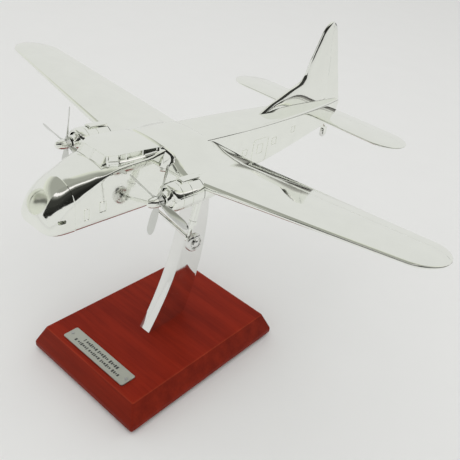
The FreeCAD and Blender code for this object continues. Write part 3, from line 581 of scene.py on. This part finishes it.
def side_details(sign):
    """Doors, windows and hatches engraved in the hull's side."""
    groove, depth = 0.28, 0.2
    outlines = [
        (29.5, 37.1, 65.2, 73.7, 1.1), (31.7, 34.6, 68.7, 71.8, 0.4), (24.4, 26.6, 69.3, 71.4, 0.4),
        (39.4, 41.8, 70.2, 72.6, 0.4), (50.4, 52.6, 72.3, 74.4, 0.4),
        (-4.0, -1.6, 70.2, 72.6, 0.6), (2.0, 4.4, 70.2, 72.6, 0.6), (8.0, 10.4, 70.2, 72.6, 0.6),
        (-26.9, -25.1, 65.2, 68.0, 0.3), (-31.2, -29.9, 64.2, 67.2, 0.3),
    ]
    return [frame_cutter(frame_path(*outline), groove, depth, sign) for outline in outlines]


def make_hull():
    stations = [SEAM_Y, SEAM_Y + 0.12]
    stations += [SEAM_Y + 0.12 + (SCREEN_Y - SEAM_Y) * k / 14 for k in range(1, 15)]
    stations += [SCREEN_Y + (WING_FRONT_Y - SCREEN_Y) * k / 10 for k in range(1, 11)]
    stations += [WING_FRONT_Y + (HOLD_END_Y - WING_FRONT_Y) * k / 10 for k in range(1, 11)]
    stations += [HOLD_END_Y + (TAIL_Y - HOLD_END_Y) * k / 26 for k in range(1, 27)]
    for side, sign in SIDES:
        rings = []
        for y in stations:
            lip = 0.12 if y == SEAM_Y else 0.0
            rings.append(half_section(y, hull_half_width(y) - lip, hull_belly(y) + lip, hull_side_top(y),
                                      hull_roof(y) - lip, 1.4, hull_squareness(y), sign))
        half = piece("polished_hull_" + side, *loft(rings), PLATED,
                     replaces=("fuselage_%s_half" % side,))
        carve(half, side_details(sign))


def make_nose():
    """The clamshell nose: full and blunt below, its shoulders falling to the ball at the front."""
    depth = SEAM_Y - nose_low.y
    radome_low, radome_high = box("radome")
    radius = (radome_high.z - radome_low.z) / 2
    centre = (radome_low + radome_high) / 2
    rings = []
    for angle in [-4] + [84 * k / 24 for k in range(25)]:
        if angle < 0:
            along, share, lip = 0.0, 0.0, 0.12
        else:
            turn = radians(angle)
            along, share, lip = 0.1 + (depth - 0.1) * sin(turn), 1 - cos(turn), 0.0
        width = hull_half_width(SEAM_Y) - 4.6 * share ** 1.9 - lip
        low = hull_belly(SEAM_Y) + 1.0 * share ** 2 + lip
        side_top = max(hull_side_top(SEAM_Y) - 0.72 * along - 3.0 * share, low + 1.3)
        high = hull_roof(SEAM_Y) - 4.0 * share - 0.42 * along - 0.30 * along ** 2 / depth - lip
        halves = [half_section(SEAM_Y - along, width, low, side_top, high, 1.2, 2.0 - 0.2 * share, sign)
                  for sign in (1, -1)]
        rings.append(halves[0] + halves[1][-2:0:-1])
    nose = piece("clamshell_nose", *loft(rings), PLATED, replaces=("nose_cap",))
    slot = frame_path(-37.9, -36.0, 65.0, 66.0, 0.35)
    carve(nose, [loft([[(sign * x, y, z) for y, z in slot] for x in (4.6, 9.0)]) for sign in (1, -1)])
    turns = [radians(a) for a in range(0, 181, 4)]
    ball = [(radius * cos(turn), radius * sin(turn)) for turn in turns]
    seam = [(a, r) for a, r in ball if abs(a) > 0.2]
    middle = len(seam) // 2
    seam[middle:middle] = [(0.07, radius), (0.03, radius - 0.06), (-0.03, radius - 0.06), (-0.07, radius)]
    piece("nose_radome", *lathe(seam, centre, (1, 0, 0), 96), RADOME_PLATED,
          replaces=("radome",), sharp=60)


def make_canopy():
    """The flight deck: a faceted glasshouse whose panes are let in between narrow frames."""
    low = 75.0
    cage = []
    for y, sill_x, roof_x, sill_z, roof_z, crown_z in (
            (-25.15, 4.85, 4.80, 76.15, 76.25, 76.30),
            (-23.70, 5.00, 4.80, 76.45, 78.55, 78.65),
            (-23.30, 5.30, 5.10, 76.50, 78.65, 78.80),
            (-21.30, 6.55, 6.30, 76.75, 79.00, 79.25),
            (-20.70, 6.60, 6.40, 76.80, 79.05, 79.30),
            (-18.90, 6.65, 6.48, 76.85, 79.10, 79.40),
            (-18.40, 6.65, 6.50, 76.85, 79.10, 79.40),
            (-13.90, 6.70, 6.52, 77.00, 79.05, 79.40),
            (-13.40, 6.70, 6.52, 77.00, 79.05, 79.40),
            (-9.40, 6.70, 6.52, 77.20, 78.90, 79.20),
            (-8.70, 6.70, 6.50, 77.20, 78.80, 79.10)):
        ledge = 0.45 if roof_z - sill_z > 1.5 else 0.02
        ring = [(sill_x + 0.15, y, low), (sill_x, y, sill_z), (sill_x - 0.6 * ledge, y, sill_z + ledge),
                (roof_x - 0.3 * ledge, y, roof_z - 0.12), (roof_x - 0.7, y, roof_z + 0.05),
                (0.15, y, crown_z)]
        cage.append(ring + [(-x, y, z) for x, y, z in reversed(ring)])
    item = piece("flight_deck", *loft(cage), PLATED, replaces=("cockpit_canopy",))
    flat = FLIGHT.inverted().to_3x3()
    work = bmesh.new()
    work.from_mesh(item.data)
    work.faces.ensure_lookup_table()
    panes = []
    for face in work.faces:
        centre = FLIGHT.inverted() @ (face.calc_center_median() / MM)
        normal = flat @ face.normal
        front_pane = normal.y < -0.5 and centre.z < 78.4 and abs(centre.x) > 1
        side_pane = abs(normal.x) > 0.6 and centre.z > 77.2
        if (front_pane or side_pane) and face.calc_area() / MM**2 > 1.5:
            panes.append(face)
    bmesh.ops.inset_individual(work, faces=panes, thickness=0.22 * MM, depth=-0.2 * MM)
    work.to_mesh(item.data)
    work.free()
    item.data.set_sharp_from_angle(angle=radians(24))
    soften(item, 0.10, 2, 24)


# ---------------------------------------------------------------- wing and tail

wing_low, wing_high = box("wing_left")
WING_Z, BREAK_X, DIHEDRAL = 72.8, 17.0, 0.085
FRONT_Y, FRONT_SWEEP, REAR_Y, REAR_SWEEP = -7.45, 0.14, 18.5, 0.04
TIP_LENGTH = 6.7
FIN_ROOT_Z, FIN_TIP = 76.0, 3.2


def half_depth(share):
    """Half thickness of a classic aerofoil at a share of its chord, for unit thickness."""
    return 5 * (0.2969 * sqrt(share) - 0.126 * share - 0.3516 * share ** 2
                + 0.2843 * share ** 3 - 0.1036 * share ** 4)


def chord_shares(crease):
    """Stations along the chord: close at the nose, with three more at the hinge crease."""
    shares = [0.5 - 0.5 * cos(pi * k / 34) for k in range(35)]
    shares = [share for share in shares if abs(share - crease) > 0.02]
    return sorted(shares + [crease - 0.012, crease - 0.004, crease + 0.004, crease + 0.012])


def wing_section(x, front, rear, height, depth, crease=0.76, lift=None, groove=0.05):
    """One closed section at x, upper side from the trailing edge forward, then back along the lower side."""
    chord = rear - front
    shares = chord_shares(crease)
    upper, lower = [], []
    for share in shares:
        up = half_depth(share) * depth * chord
        dip = groove if abs(share - crease) < 0.005 else 0.0
        top = height + up * 1.15 - dip + 0.02
        if lift:
            top = lift(front + share * chord, top)
        upper.append((x, front + share * chord, top))
        lower.append((x, front + share * chord, height - up * 0.85 - 0.02))
    return upper[::-1] + lower[1:]


def planform(x):
    """Leading edge, trailing edge and height of the wing at a distance from the middle."""
    out = max(x - BREAK_X, 0)
    front, rear = FRONT_Y + FRONT_SWEEP * out, REAR_Y - REAR_SWEEP * out
    front -= 2.2 * (1 - smoothstep(5.8, 9.0, x))
    share = sqrt(max(1 - (max(x - wing_high.x + TIP_LENGTH, 0) / TIP_LENGTH) ** 2, 0))
    middle, half = (front + rear) / 2, (rear - front) / 2 * share
    return middle - half, middle + half, WING_Z + DIHEDRAL * out


def make_wings():
    reach = wing_high.x
    span = [0, 1, 2, 3, 4, 5] + [5.5 + 0.5 * k for k in range(18)] + [14.6, 15.3, 16, 16.6, 17.2, 18]
    span += [18 + (reach - TIP_LENGTH - 18) * k / 24 for k in range(1, 25)]
    span += [reach - TIP_LENGTH + TIP_LENGTH * sin(radians(a)) for a in
             (8, 16, 24, 32, 40, 48, 55, 62, 68, 74, 79, 83, 86, 88.5)]
    for side, sign in SIDES:
        rings = []
        for x in span:
            front, rear, height = planform(x)
            depth = 0.17 - 0.05 * x / reach
            hump = 1 / (1 + (max(x - 5.5, 0) / 3.0) ** 2.2) * (1 - smoothstep(11.0, 17.0, x))
            crown = 79.15 - 0.5 * (min(x, 7) / 7) ** 2

            def over_roof(y, top, front=front, rear=rear, hump=hump, crown=crown):
                """Raises the skin over the cabin roof, fading out by the nacelle and trailing edge."""
                share = (y - front) / (rear - front)
                fade = smoothstep(0.0, 0.07, share) * (1 - smoothstep(0.55, 0.99, share))
                return top + max(crown - top, 0) * hump * fade

            rings.append(wing_section(sign * x, front, rear, height, depth, lift=over_roof))
        piece("polished_wing_" + side, *loft(rings), PLATED, replaces=("wing_" + side,), sharp=40)


def make_tailplane():
    low, high = box("tailplane_left")
    reach, tip = high.x, 8.4
    span = [0.3 + (reach - tip - 0.3) * k / 14 for k in range(15)]
    span += [reach - tip + tip * sin(radians(a))
             for a in (10, 20, 30, 40, 50, 58, 66, 73, 79, 84, 88)]
    for side, sign in SIDES:
        rings = []
        for x in span:
            share = sqrt(max(1 - (max(x - reach + tip, 0) / tip) ** 2, 0))
            middle, half = (low.y + high.y) / 2, (high.y - low.y) / 2 * share
            rings.append(wing_section(sign * x, middle - half, middle + half, 75.7, 0.10, 0.62, None, 0.045))
        piece("polished_tailplane_" + side, *loft(rings), PLATED, replaces=("tailplane_" + side,), sharp=40)


def make_fin():
    """The fin with its long dorsal fillet and the rudder, in level sections from the roof to the tip."""
    high = box("fin")[1]
    heights = [FIN_ROOT_Z + (high.z - FIN_TIP - FIN_ROOT_Z) * (k / 34) ** 1.1 for k in range(35)]
    heights += [high.z - FIN_TIP + FIN_TIP * sin(radians(a))
                for a in (12, 24, 36, 48, 58, 67, 75, 82, 87)]
    rings = []
    for z in heights:
        front, rear = fin_edges(z, high.z)
        thick = 0.95 - 0.35 * (z - FIN_ROOT_Z) / (high.z - FIN_ROOT_Z)
        chord = rear - front
        hinge_y = 76.2 - 4.8 * (z - 78.5) / 23.8
        hinge = min(max((hinge_y - front) / chord, 0.35), 0.85)
        shares = [0.5 - 0.5 * cos(pi * k / 30) for k in range(31)]
        shares = [share for share in shares if abs(share - hinge) > 0.015]
        shares = sorted(shares + [hinge - 0.01, hinge - 0.003, hinge + 0.003, hinge + 0.01])
        left, right = [], []
        for share in shares:
            bulge = min(half_depth(share) * 2 * min(1.0, 2.6 * share ** 0.25 + 0.2), 1.0) * thick
            dip = 0.08 if abs(share - hinge) < 0.004 else 0
            half = max(bulge - dip, 0.02)
            left.append((half, front + share * chord, z))
            right.append((-half, front + share * chord, z))
        rings.append(left[::-1] + right[1:])
    piece("polished_fin", *loft(rings), PLATED, replaces=("fin",), sharp=50)


def fin_edges(z, top):
    """Front and rear edge of the fin at a height: dorsal fillet, raked edge, rounded tip, raked rudder."""
    front = between(((FIN_ROOT_Z, 32.8), (78.5, 38.2), (81.5, 43.9), (85.5, 53.3), (86.4, 55.8), (87.4, 57.8),
                     (88.4, 59.2), (89.8, 60.0), (91.4, 60.5), (93.4, 61.1), (97.1, 62.7), (101.2, 64.5),
                     (107.0, 67.0)), z)
    rear = 87.0 - 12.8 * (z - 76.2) / 27.8
    round_start = top - FIN_TIP
    if z > round_start:
        share = sqrt(max(1 - ((z - round_start) / FIN_TIP) ** 2, 0))
        middle = 70.2
        front, rear = middle - (middle - front) * share, middle + (rear - middle) * share
    return front, rear


# ---------------------------------------------------------------- engines

def with_panel_lines(profile, places, width=0.16, depth=0.12):
    """Cuts narrow grooves round the outside of a turned profile."""
    result, cut = [profile[0]], 0
    for (a0, r0), (a1, r1) in zip(profile, profile[1:]):
        while cut < len(places) and a0 < places[cut] - width and places[cut] + width < a1:
            radius = r0 + (r1 - r0) * (places[cut] - a0) / (a1 - a0)
            for step, drop in ((-0.5, 0), (-0.3, depth), (0.3, depth), (0.5, 0)):
                result.append((places[cut] + step * width, radius - drop))
            cut += 1
        result.append((a1, r1))
    return result


def make_engine(side):
    """The cowling, the cylinders and gearbox inside it, and all that the engine carries."""
    cowl_low, cowl_high = box("cowling_" + side)
    x, z = (cowl_low.x + cowl_high.x) / 2, (cowl_low.z + cowl_high.z) / 2
    radius = (cowl_high.z - cowl_low.z) / 2
    front, rear = cowl_low.y, cowl_high.y
    long = rear - front
    shell = [(0.15, 2.7), (0.0, 3.0), (0.35, 3.45), (1.4, radius - 0.08), (3.2, radius),
             (long, radius - 0.12), (long, radius - 0.5), (1.6, radius - 0.6), (0.5, 2.8), (0.15, 2.7)]
    shell = curve(shell, [0.3, 0.5, 0.8, 1.0, 0.1, 0.1, 0.6, 0.2], 5)
    shell[-1] = shell[0]
    shell = with_panel_lines(shell, (2.5, 5.6))
    piece("cowling_ring_" + side, *lathe(shell, (x, front, z), (0, 1, 0), 72), PLATED,
          replaces=("cowling_" + side,))
    bore = 1.24
    crankcase = [(1.9, bore), (1.9, 1.45), (2.6, 1.6), (3.0, 3.0), (long - 0.3, 3.1), (long - 0.3, bore),
                 (1.9, bore)]
    core = [lathe(crankcase, (x, front, z), (0, 1, 0), 40)]
    for k in range(9):
        turn = 2 * pi * k / 9
        out = Vector((cos(turn), 0, sin(turn)))
        centre = Vector((x, front + 2.3, z))
        core.append(rod(centre + out * 1.4, centre + out * 2.85, 0.52, 0.46, 16))
        for ring in range(3):
            start = centre + out * (1.5 + 0.42 * ring)
            core.append(rod(start, start + out * 0.18, 0.66, 0.66, 16))
    piece("engine_cylinders_" + side, *joined(*core), DARK_METAL, replaces=("engine_core_" + side,))
    dome = [(-1.5, 0.56), (-1.5, 1.75), (-1.3, 1.95), (-0.2, 2.05), (0.1, 2.25), (1.0, 3.05), (2.4, 3.1),
            (2.4, 1.8), (-1.2, 1.8), (-1.42, 1.5), (-1.42, 0.56), (-1.5, 0.56)]
    piece("gearbox_dome_" + side, *lathe(dome, (x, front, z), (0, 1, 0), 48), PLATED)
    make_nacelle(side, x, z, rear)
    make_propeller(side, x, z)


def make_nacelle(side, x, z, start):
    """The fairing behind the cowling, tapering up into the underside of the wing, and the intake scoop."""
    low, high = box("nacelle_" + side)
    length = high.y - low.y
    rings = []
    for k in range(25):
        share = k / 24
        radius = 3.55 * max(1 - share ** 2.2, 0) ** 0.5 * (1 - 0.12 * share)
        radius = max(radius, 0.12)
        lift = 2.0 * share ** 2
        rings.append([(x + radius * cos(2 * pi * j / 40), start + 0.25 + (length - 0.3) * share,
                       z + lift + radius * sin(2 * pi * j / 40)) for j in range(40)])
    piece("nacelle_fairing_" + side, *loft(rings), PLATED, replaces=("nacelle_" + side,))
    scoop_low, scoop_high = box("air_intake_" + side)
    half, top = (scoop_high.x - scoop_low.x) / 2, scoop_high.z
    base, lip, corner = z + 3.0, scoop_low.y, 0.45
    stations = ((lip + 0.5, half - 0.35, top - 0.5), (lip + 0.05, half - 0.3, top - 0.45),
                (lip, half - 0.12, top - 0.2), (lip + 0.2, half, top - 0.05), (lip + 1.0, half, top),
                (scoop_high.y - 1.6, half, top), (scoop_high.y, half, top))
    rings = []
    for y, wide, high_z in stations:
        ring = [(wide, base), (wide, high_z - corner)]
        for turn in (radians(25), radians(50), radians(75)):
            ring.append((wide - corner + corner * cos(turn), high_z - corner + corner * sin(turn)))
        ring = ring + [(-px, pz) for px, pz in reversed(ring)]
        rings.append([(x + px, y, pz) for px, pz in ring])
    piece("intake_scoop_" + side, *loft(rings), PLATED, replaces=("air_intake_" + side,))


def make_propeller(side, x, z):
    """Four twisted blades on a hub, with the spinner in front; each side stopped at its own angle."""
    body = "propeller_%s_unit" % side
    low, high = box("propeller_" + side)
    y = (low.y + high.y) / 2
    reach = 10.9
    first = {"left": 77.7, "right": 82.4}[side]
    hub = curve([(-0.8, 0.5), (-0.8, 1.4), (0.8, 1.4), (0.8, 0.5), (-0.8, 0.5)], [0.1, 0.15, 0.1], 3)
    parts = [lathe(hub, (x, y, z), (0, 1, 0), 40)]
    for quarter in range(4):
        turn = radians(first + 90 * quarter)
        out = Vector((cos(turn), 0, sin(turn)))
        tangent = Vector((-sin(turn), 0, cos(turn)))
        rings = []
        for k in range(25):
            share = k / 24
            radius = 1.1 + (reach - 1.1) * share
            chord = 1.9 * (0.55 + 0.45 * smoothstep(0.0, 0.4, share))
            if share > 0.78:
                chord *= sqrt(max(1 - ((share - 0.78) / 0.225) ** 2, 0.0))
            chord = max(chord, 0.08)
            depth = 0.52 - 0.36 * share
            pitch = radians(52 - 30 * share)
            flat = tangent * cos(pitch) + Vector((0, 1, 0)) * sin(pitch)
            thick = flat.cross(out).normalized()
            ring = []
            for j in range(16):
                around = 2 * pi * j / 16
                ring.append(Vector((x, y, z)) + out * radius + flat * (chord / 2 * cos(around))
                            + thick * (depth / 2 * sin(around)))
            rings.append(ring)
        parts.append(loft(rings))
        parts.append(rod(Vector((x, y, z)) + out * 0.9, Vector((x, y, z)) + out * 2.1, 0.52, 0.42, 20))
    piece("airscrew_" + side, *joined(*parts), SATIN_PLATED, body=body,
          replaces=("propeller_" + side,), sharp=50)
    spin_low, spin_high = box("spinner_" + side)
    long = spin_high.y - spin_low.y
    profile = [(0.0, 0.0), (0.0, 1.32)]
    turns = [radians(a) for a in range(0, 90, 6)]
    profile += [(long * sin(turn), 1.38 * cos(turn) ** 0.8) for turn in turns]
    profile.append((long, 0.0))
    piece("spinner_cone_" + side, *lathe(profile, (x, spin_high.y, z), (0, -1, 0), 40), PLATED, body=body,
          replaces=("spinner_" + side,), sharp=50)


# ---------------------------------------------------------------- undercarriage

def make_main_gear(side, sign):
    """The leg with its collar and side rod, the bracing strut, the wheel and its cap."""
    wheel_low, wheel_high = box("main_wheel_" + side)
    centre = (wheel_low + wheel_high) / 2
    radius, half = (wheel_high.z - wheel_low.z) / 2, (wheel_high.x - wheel_low.x) / 2
    foot = Vector((centre.x - sign * 1.95, centre.y, centre.z))
    top = Vector((sign * 18.9, -5.2, 69.6))
    eye = [(-0.55, 0.5), (-0.55, 0.78), (-0.4, 0.9), (0.4, 0.9), (0.55, 0.78), (0.55, 0.5), (-0.55, 0.5)]
    leg = joined(
        rod(top, foot, 0.62, 0.55, 28), lathe(eye, foot, (1, 0, 0), 32),
        rod(top, top.lerp(foot, 0.60), 0.98, 0.92, 32),
        rod(top.lerp(foot, 0.58), top.lerp(foot, 0.66), 1.12, 1.12, 32),
        rod(top + Vector((0, -1.5, 0.3)), top.lerp(foot, 0.74) + Vector((0, -0.5, 0)), 0.34, 0.3, 20))
    piece("oleo_leg_" + side, *leg, PLATED, replaces=("main_leg_" + side,))
    root = Vector((sign * (hull_high.x - 0.1), -11.6, 63.6))
    strut = joined(rod(root, foot + Vector((0, 0, 0.35)), 0.52, 0.46, 24),
                   rod(root, root.lerp(foot, 0.12), 0.62, 0.5, 20))
    piece("bracing_strut_" + side, *strut, PLATED, replaces=("side_strut_" + side,))
    body = "main_wheel_%s_unit" % side
    profile = [(-half, 0.5), (half - 0.35, 0.5), (half - 0.35, 1.25), (half - 0.5, 1.35),
               (half - 0.5, 1.7), (half - 0.05, 1.85), (half, 2.05), (half - 0.1, 2.3),
               (half - 0.35, radius - 0.08), (0.25, radius),
               (-0.25, radius), (-half + 0.35, radius - 0.08), (-half + 0.1, 2.3), (-half, 2.05),
               (-half + 0.1, 1.8), (-half + 0.3, 1.5), (-half, 1.2), (-half, 0.5)]
    outward = [(sign * along, reach) for along, reach in profile]
    piece("road_wheel_" + side, *lathe(outward, centre, (1, 0, 0), 64), WHEEL_PLATED,
          body=body, replaces=("main_wheel_" + side,), slot="wheel_plate")
    cap_low, cap_high = box("hub_cap_" + side)
    start = cap_low.x if sign > 0 else cap_high.x
    cap = [(0, 0), (0, 0.9), (0.12, 0.9), (0.26, 0.7), (0.33, 0.35), (0.35, 0)]
    piece("axle_cap_" + side, *lathe(cap, (start, centre.y, centre.z), (sign, 0, 0), 36), WHEEL_PLATED,
          replaces=("hub_cap_" + side,), slot="wheel_plate", sharp=50)


make_base()
make_nameplate()
make_stand()
make_hull()
make_nose()
make_canopy()
make_wings()
make_tailplane()
make_fin()
for side_name, side_sign in SIDES:
    make_engine(side_name)
    make_main_gear(side_name, side_sign)


# ---------------------------------------------------------------- studio and camera

def staged(name, points, faces, materials):
    """A mesh of the studio, which is no part of the object."""
    mesh = bpy.data.meshes.new(name)
    mesh.from_pydata(points, [], faces)
    for material in materials:
        mesh.materials.append(material)
    item = bpy.data.objects.new(name, mesh)
    bpy.context.scene.collection.objects.link(item)
    return item


def plane(name, centre, along, across, material):
    """A flat card from its centre and two half-edges, in metres."""
    centre, along, across = Vector(centre), Vector(along), Vector(across)
    corners = [centre - along - across, centre + along - across, centre + along + across,
               centre - along + across]
    return staged(name, corners, [(0, 1, 2, 3)], [material])


def glow(name, colour, strength):
    material = bpy.data.materials.new(name)
    material.use_nodes = True
    nodes, links = material.node_tree.nodes, material.node_tree.links
    nodes.clear()
    emission = nodes.new("ShaderNodeEmission")
    emission.inputs["Color"].default_value = (*colour, 1)
    emission.inputs["Strength"].default_value = strength
    output = nodes.new("ShaderNodeOutputMaterial")
    links.new(emission.outputs["Emission"], output.inputs["Surface"])
    return material


def mirror_only(item):
    """Hides an item from all but reflections."""
    item.visible_camera = False
    item.visible_diffuse = False
    item.visible_shadow = False
    item.visible_transmission = False
    item.visible_volume_scatter = False


def upright_card(name, azimuth, distance, half_width, height, material):
    """An upright card that only mirrors see, standing on the floor, in degrees and metres."""
    turn = radians(azimuth)
    away, across = Vector((cos(turn), sin(turn), 0)), Vector((-sin(turn), cos(turn), 0))
    centre = away * distance + Vector((0, 0, height / 2))
    mirror_only(plane(name, centre, across * half_width, (0, 0, height / 2), material))


def area_light(name, place, target, size, power):
    data = bpy.data.lights.new(name, "AREA")
    data.energy = power
    data.size = size
    light = bpy.data.objects.new(name, data)
    light.location = place
    light.rotation_mode = "QUATERNION"
    light.rotation_quaternion = (Vector(target) - Vector(place)).to_track_quat("-Z", "Y")
    bpy.context.scene.collection.objects.link(light)
    return light


def fading_card_material(name, low, high, stops):
    """Emission that changes with height in the object's own space, from low to high, in metres."""
    material = glow(name, (1, 1, 1), 1.0)
    nodes, links = material.node_tree.nodes, material.node_tree.links
    rise = spread(nodes, links, object_height(nodes, links), 0.0, 1.0, low, high)
    links.new(colour_ramp(nodes, links, rise, stops), nodes["Emission"].inputs["Color"])
    return material


def curved_wall(name, radius, start, end, low, high, material):
    """Part of a ring round the model that only mirrors see, in metres and degrees."""
    steps = 72
    turns = [radians(start + (end - start) * k / steps) for k in range(steps + 1)]
    points = [(radius * cos(turn), radius * sin(turn), z) for z in (low, high) for turn in turns]
    faces = [(k, k + 1, steps + 2 + k, steps + 1 + k) for k in range(steps)]
    mirror_only(staged(name, points, faces, [material]))


# Azimuth and elevation, in degrees, of where the dark room starts and of the slit above it.
ROOM_FLOOR = ((-110, 12), (-89, 16), (-72, 26), (-52, 31), (-32, 31), (-16, 26), (2, 16), (20, 2), (30, -7),
              (52, -7))
ROOM_SLIT = ((-125, 40), (-109, 45), (-80, 57), (-50, 68), (-28, 74), (-12, 75), (8, 60), (30, 32), (52, 14))
DARK_FROM, DARK_TO = -110, 52
SLIT_LEVEL = 1.06


def room_level(azimuth, elevation):
    """Brightness of the room about the camera: dark behind it, a bright slit above that, a grey ceiling."""
    if DARK_FROM <= azimuth <= DARK_TO:
        above = elevation - between(ROOM_SLIT, azimuth)
        if above < 0:
            return 0.014 + 0.22 * smoothstep(-9, 0, above) + 0.03 * smoothstep(-40, -9, above)
        if above < 8:
            return SLIT_LEVEL
        return 0.30 + 0.42 * (1 - smoothstep(50, 70, elevation)) if azimuth > 10 else 0.32
    if azimuth < 0:
        return 0.36 + 0.36 * (1 - smoothstep(28, 46, elevation))
    return 0.34 + 0.38 * (1 - smoothstep(70, 82, elevation))


def room():
    """The room as only the plating sees it: patches of a dome about the nose, in steps of brightness."""
    step, radius, middle = 2.0, 0.9, Vector((0, -0.035, 0.073))
    levels, points, faces, shades = 28, [], [], []
    for k in range(180):
        azimuth = -180 + step * k
        if DARK_FROM <= azimuth < DARK_TO:
            floor = between(ROOM_FLOOR, azimuth + 1)
        else:
            floor = 26 if azimuth < 0 else 68
        elevation = floor
        while elevation < 89:
            higher = min(elevation + step, 90)
            start = len(points)
            for a, e in ((azimuth, elevation), (azimuth + step, elevation), (azimuth + step, higher),
                         (azimuth, higher)):
                a, e = radians(a), radians(e)
                way = Vector((cos(a) * cos(e), sin(a) * cos(e), sin(e)))
                points.append(middle + way * radius)
            faces.append((start, start + 1, start + 2, start + 3))
            level = room_level(azimuth + 1, elevation + 1)
            shades.append(min(int((level / SLIT_LEVEL) ** 0.5 * levels), levels - 1))
            elevation = higher
    materials = []
    for k in range(levels):
        level = ((k + 0.5) / levels) ** 2 * SLIT_LEVEL
        tint = (0.98, 1.0, 0.89) if level < 0.8 else (1.0, 0.965, 0.97)
        materials.append(glow("room_%02d" % k, tuple(level * part for part in tint), 1.0))
    item = staged("room", points, faces, materials)
    for polygon, shade in zip(item.data.polygons, shades):
        polygon.material_index = shade
    mirror_only(item)


def make_studio():
    plane("studio_floor", (0, 0, 0), (4, 0, 0), (0, 4, 0), pale_floor())
    world = bpy.data.worlds.new("studio")
    bpy.context.scene.world = world
    world.use_nodes = True
    world.node_tree.nodes["Background"].inputs["Color"].default_value = (1.0, 1.003, 0.985, 1)
    world.node_tree.nodes["Background"].inputs["Strength"].default_value = 0.75
    key = area_light("key_softbox", (0.02, -0.06, 0.85), (0, 0.0, 0.05), 0.9, 1.5)
    key.visible_glossy = False
    room()
    low_room = fading_card_material("low_room", 0.0, 0.12, (
        (0.0, (0.012, 0.010, 0.010)), (0.7, (0.02, 0.017, 0.016)), (0.9, (0.20, 0.19, 0.18)),
        (1.0, (0.55, 0.55, 0.53))))
    upright_card("low_room_card", 58, 1.0, 0.30, 0.12, low_room)
    horizon = fading_card_material("far_wall", 0.0, 0.26, (
        (0.0, (0.03, 0.027, 0.025)), (0.3, (0.10, 0.095, 0.09)), (0.7, (0.4, 0.39, 0.38)),
        (1.0, (0.85, 0.85, 0.83))))
    curved_wall("far_wall", 1.3, 52, 95, 0.0, 0.26, horizon)


def make_camera():
    """Placed by its azimuth, elevation and roll about the line of sight."""
    azimuth, elevation, roll = radians(31.53), radians(34.69), radians(11.48)
    place = Vector((107.17, -97.29, 144.54)) * MM
    back = Vector((sin(azimuth) * cos(elevation), -cos(azimuth) * cos(elevation),
                   sin(elevation)))
    right = (-back).cross(Vector((0, 0, 1))).normalized()
    up = right.cross(-back)
    turned_right = right * cos(roll) + up * sin(roll)
    turned_up = up * cos(roll) - right * sin(roll)
    data = bpy.data.cameras.new("camera")
    data.sensor_width = 36.0
    data.lens = 43.59913
    data.shift_x = -0.14
    data.shift_y = 0.0485
    data.clip_start = 0.01
    camera = bpy.data.objects.new("camera", data)
    rotation = Matrix((turned_right, turned_up, back)).transposed()
    camera.matrix_world = Matrix.Translation(place) @ rotation.to_4x4()
    bpy.context.scene.collection.objects.link(camera)
    bpy.context.scene.camera = camera


make_studio()
make_camera()
bpy.context.scene.view_settings.view_transform = "Standard"
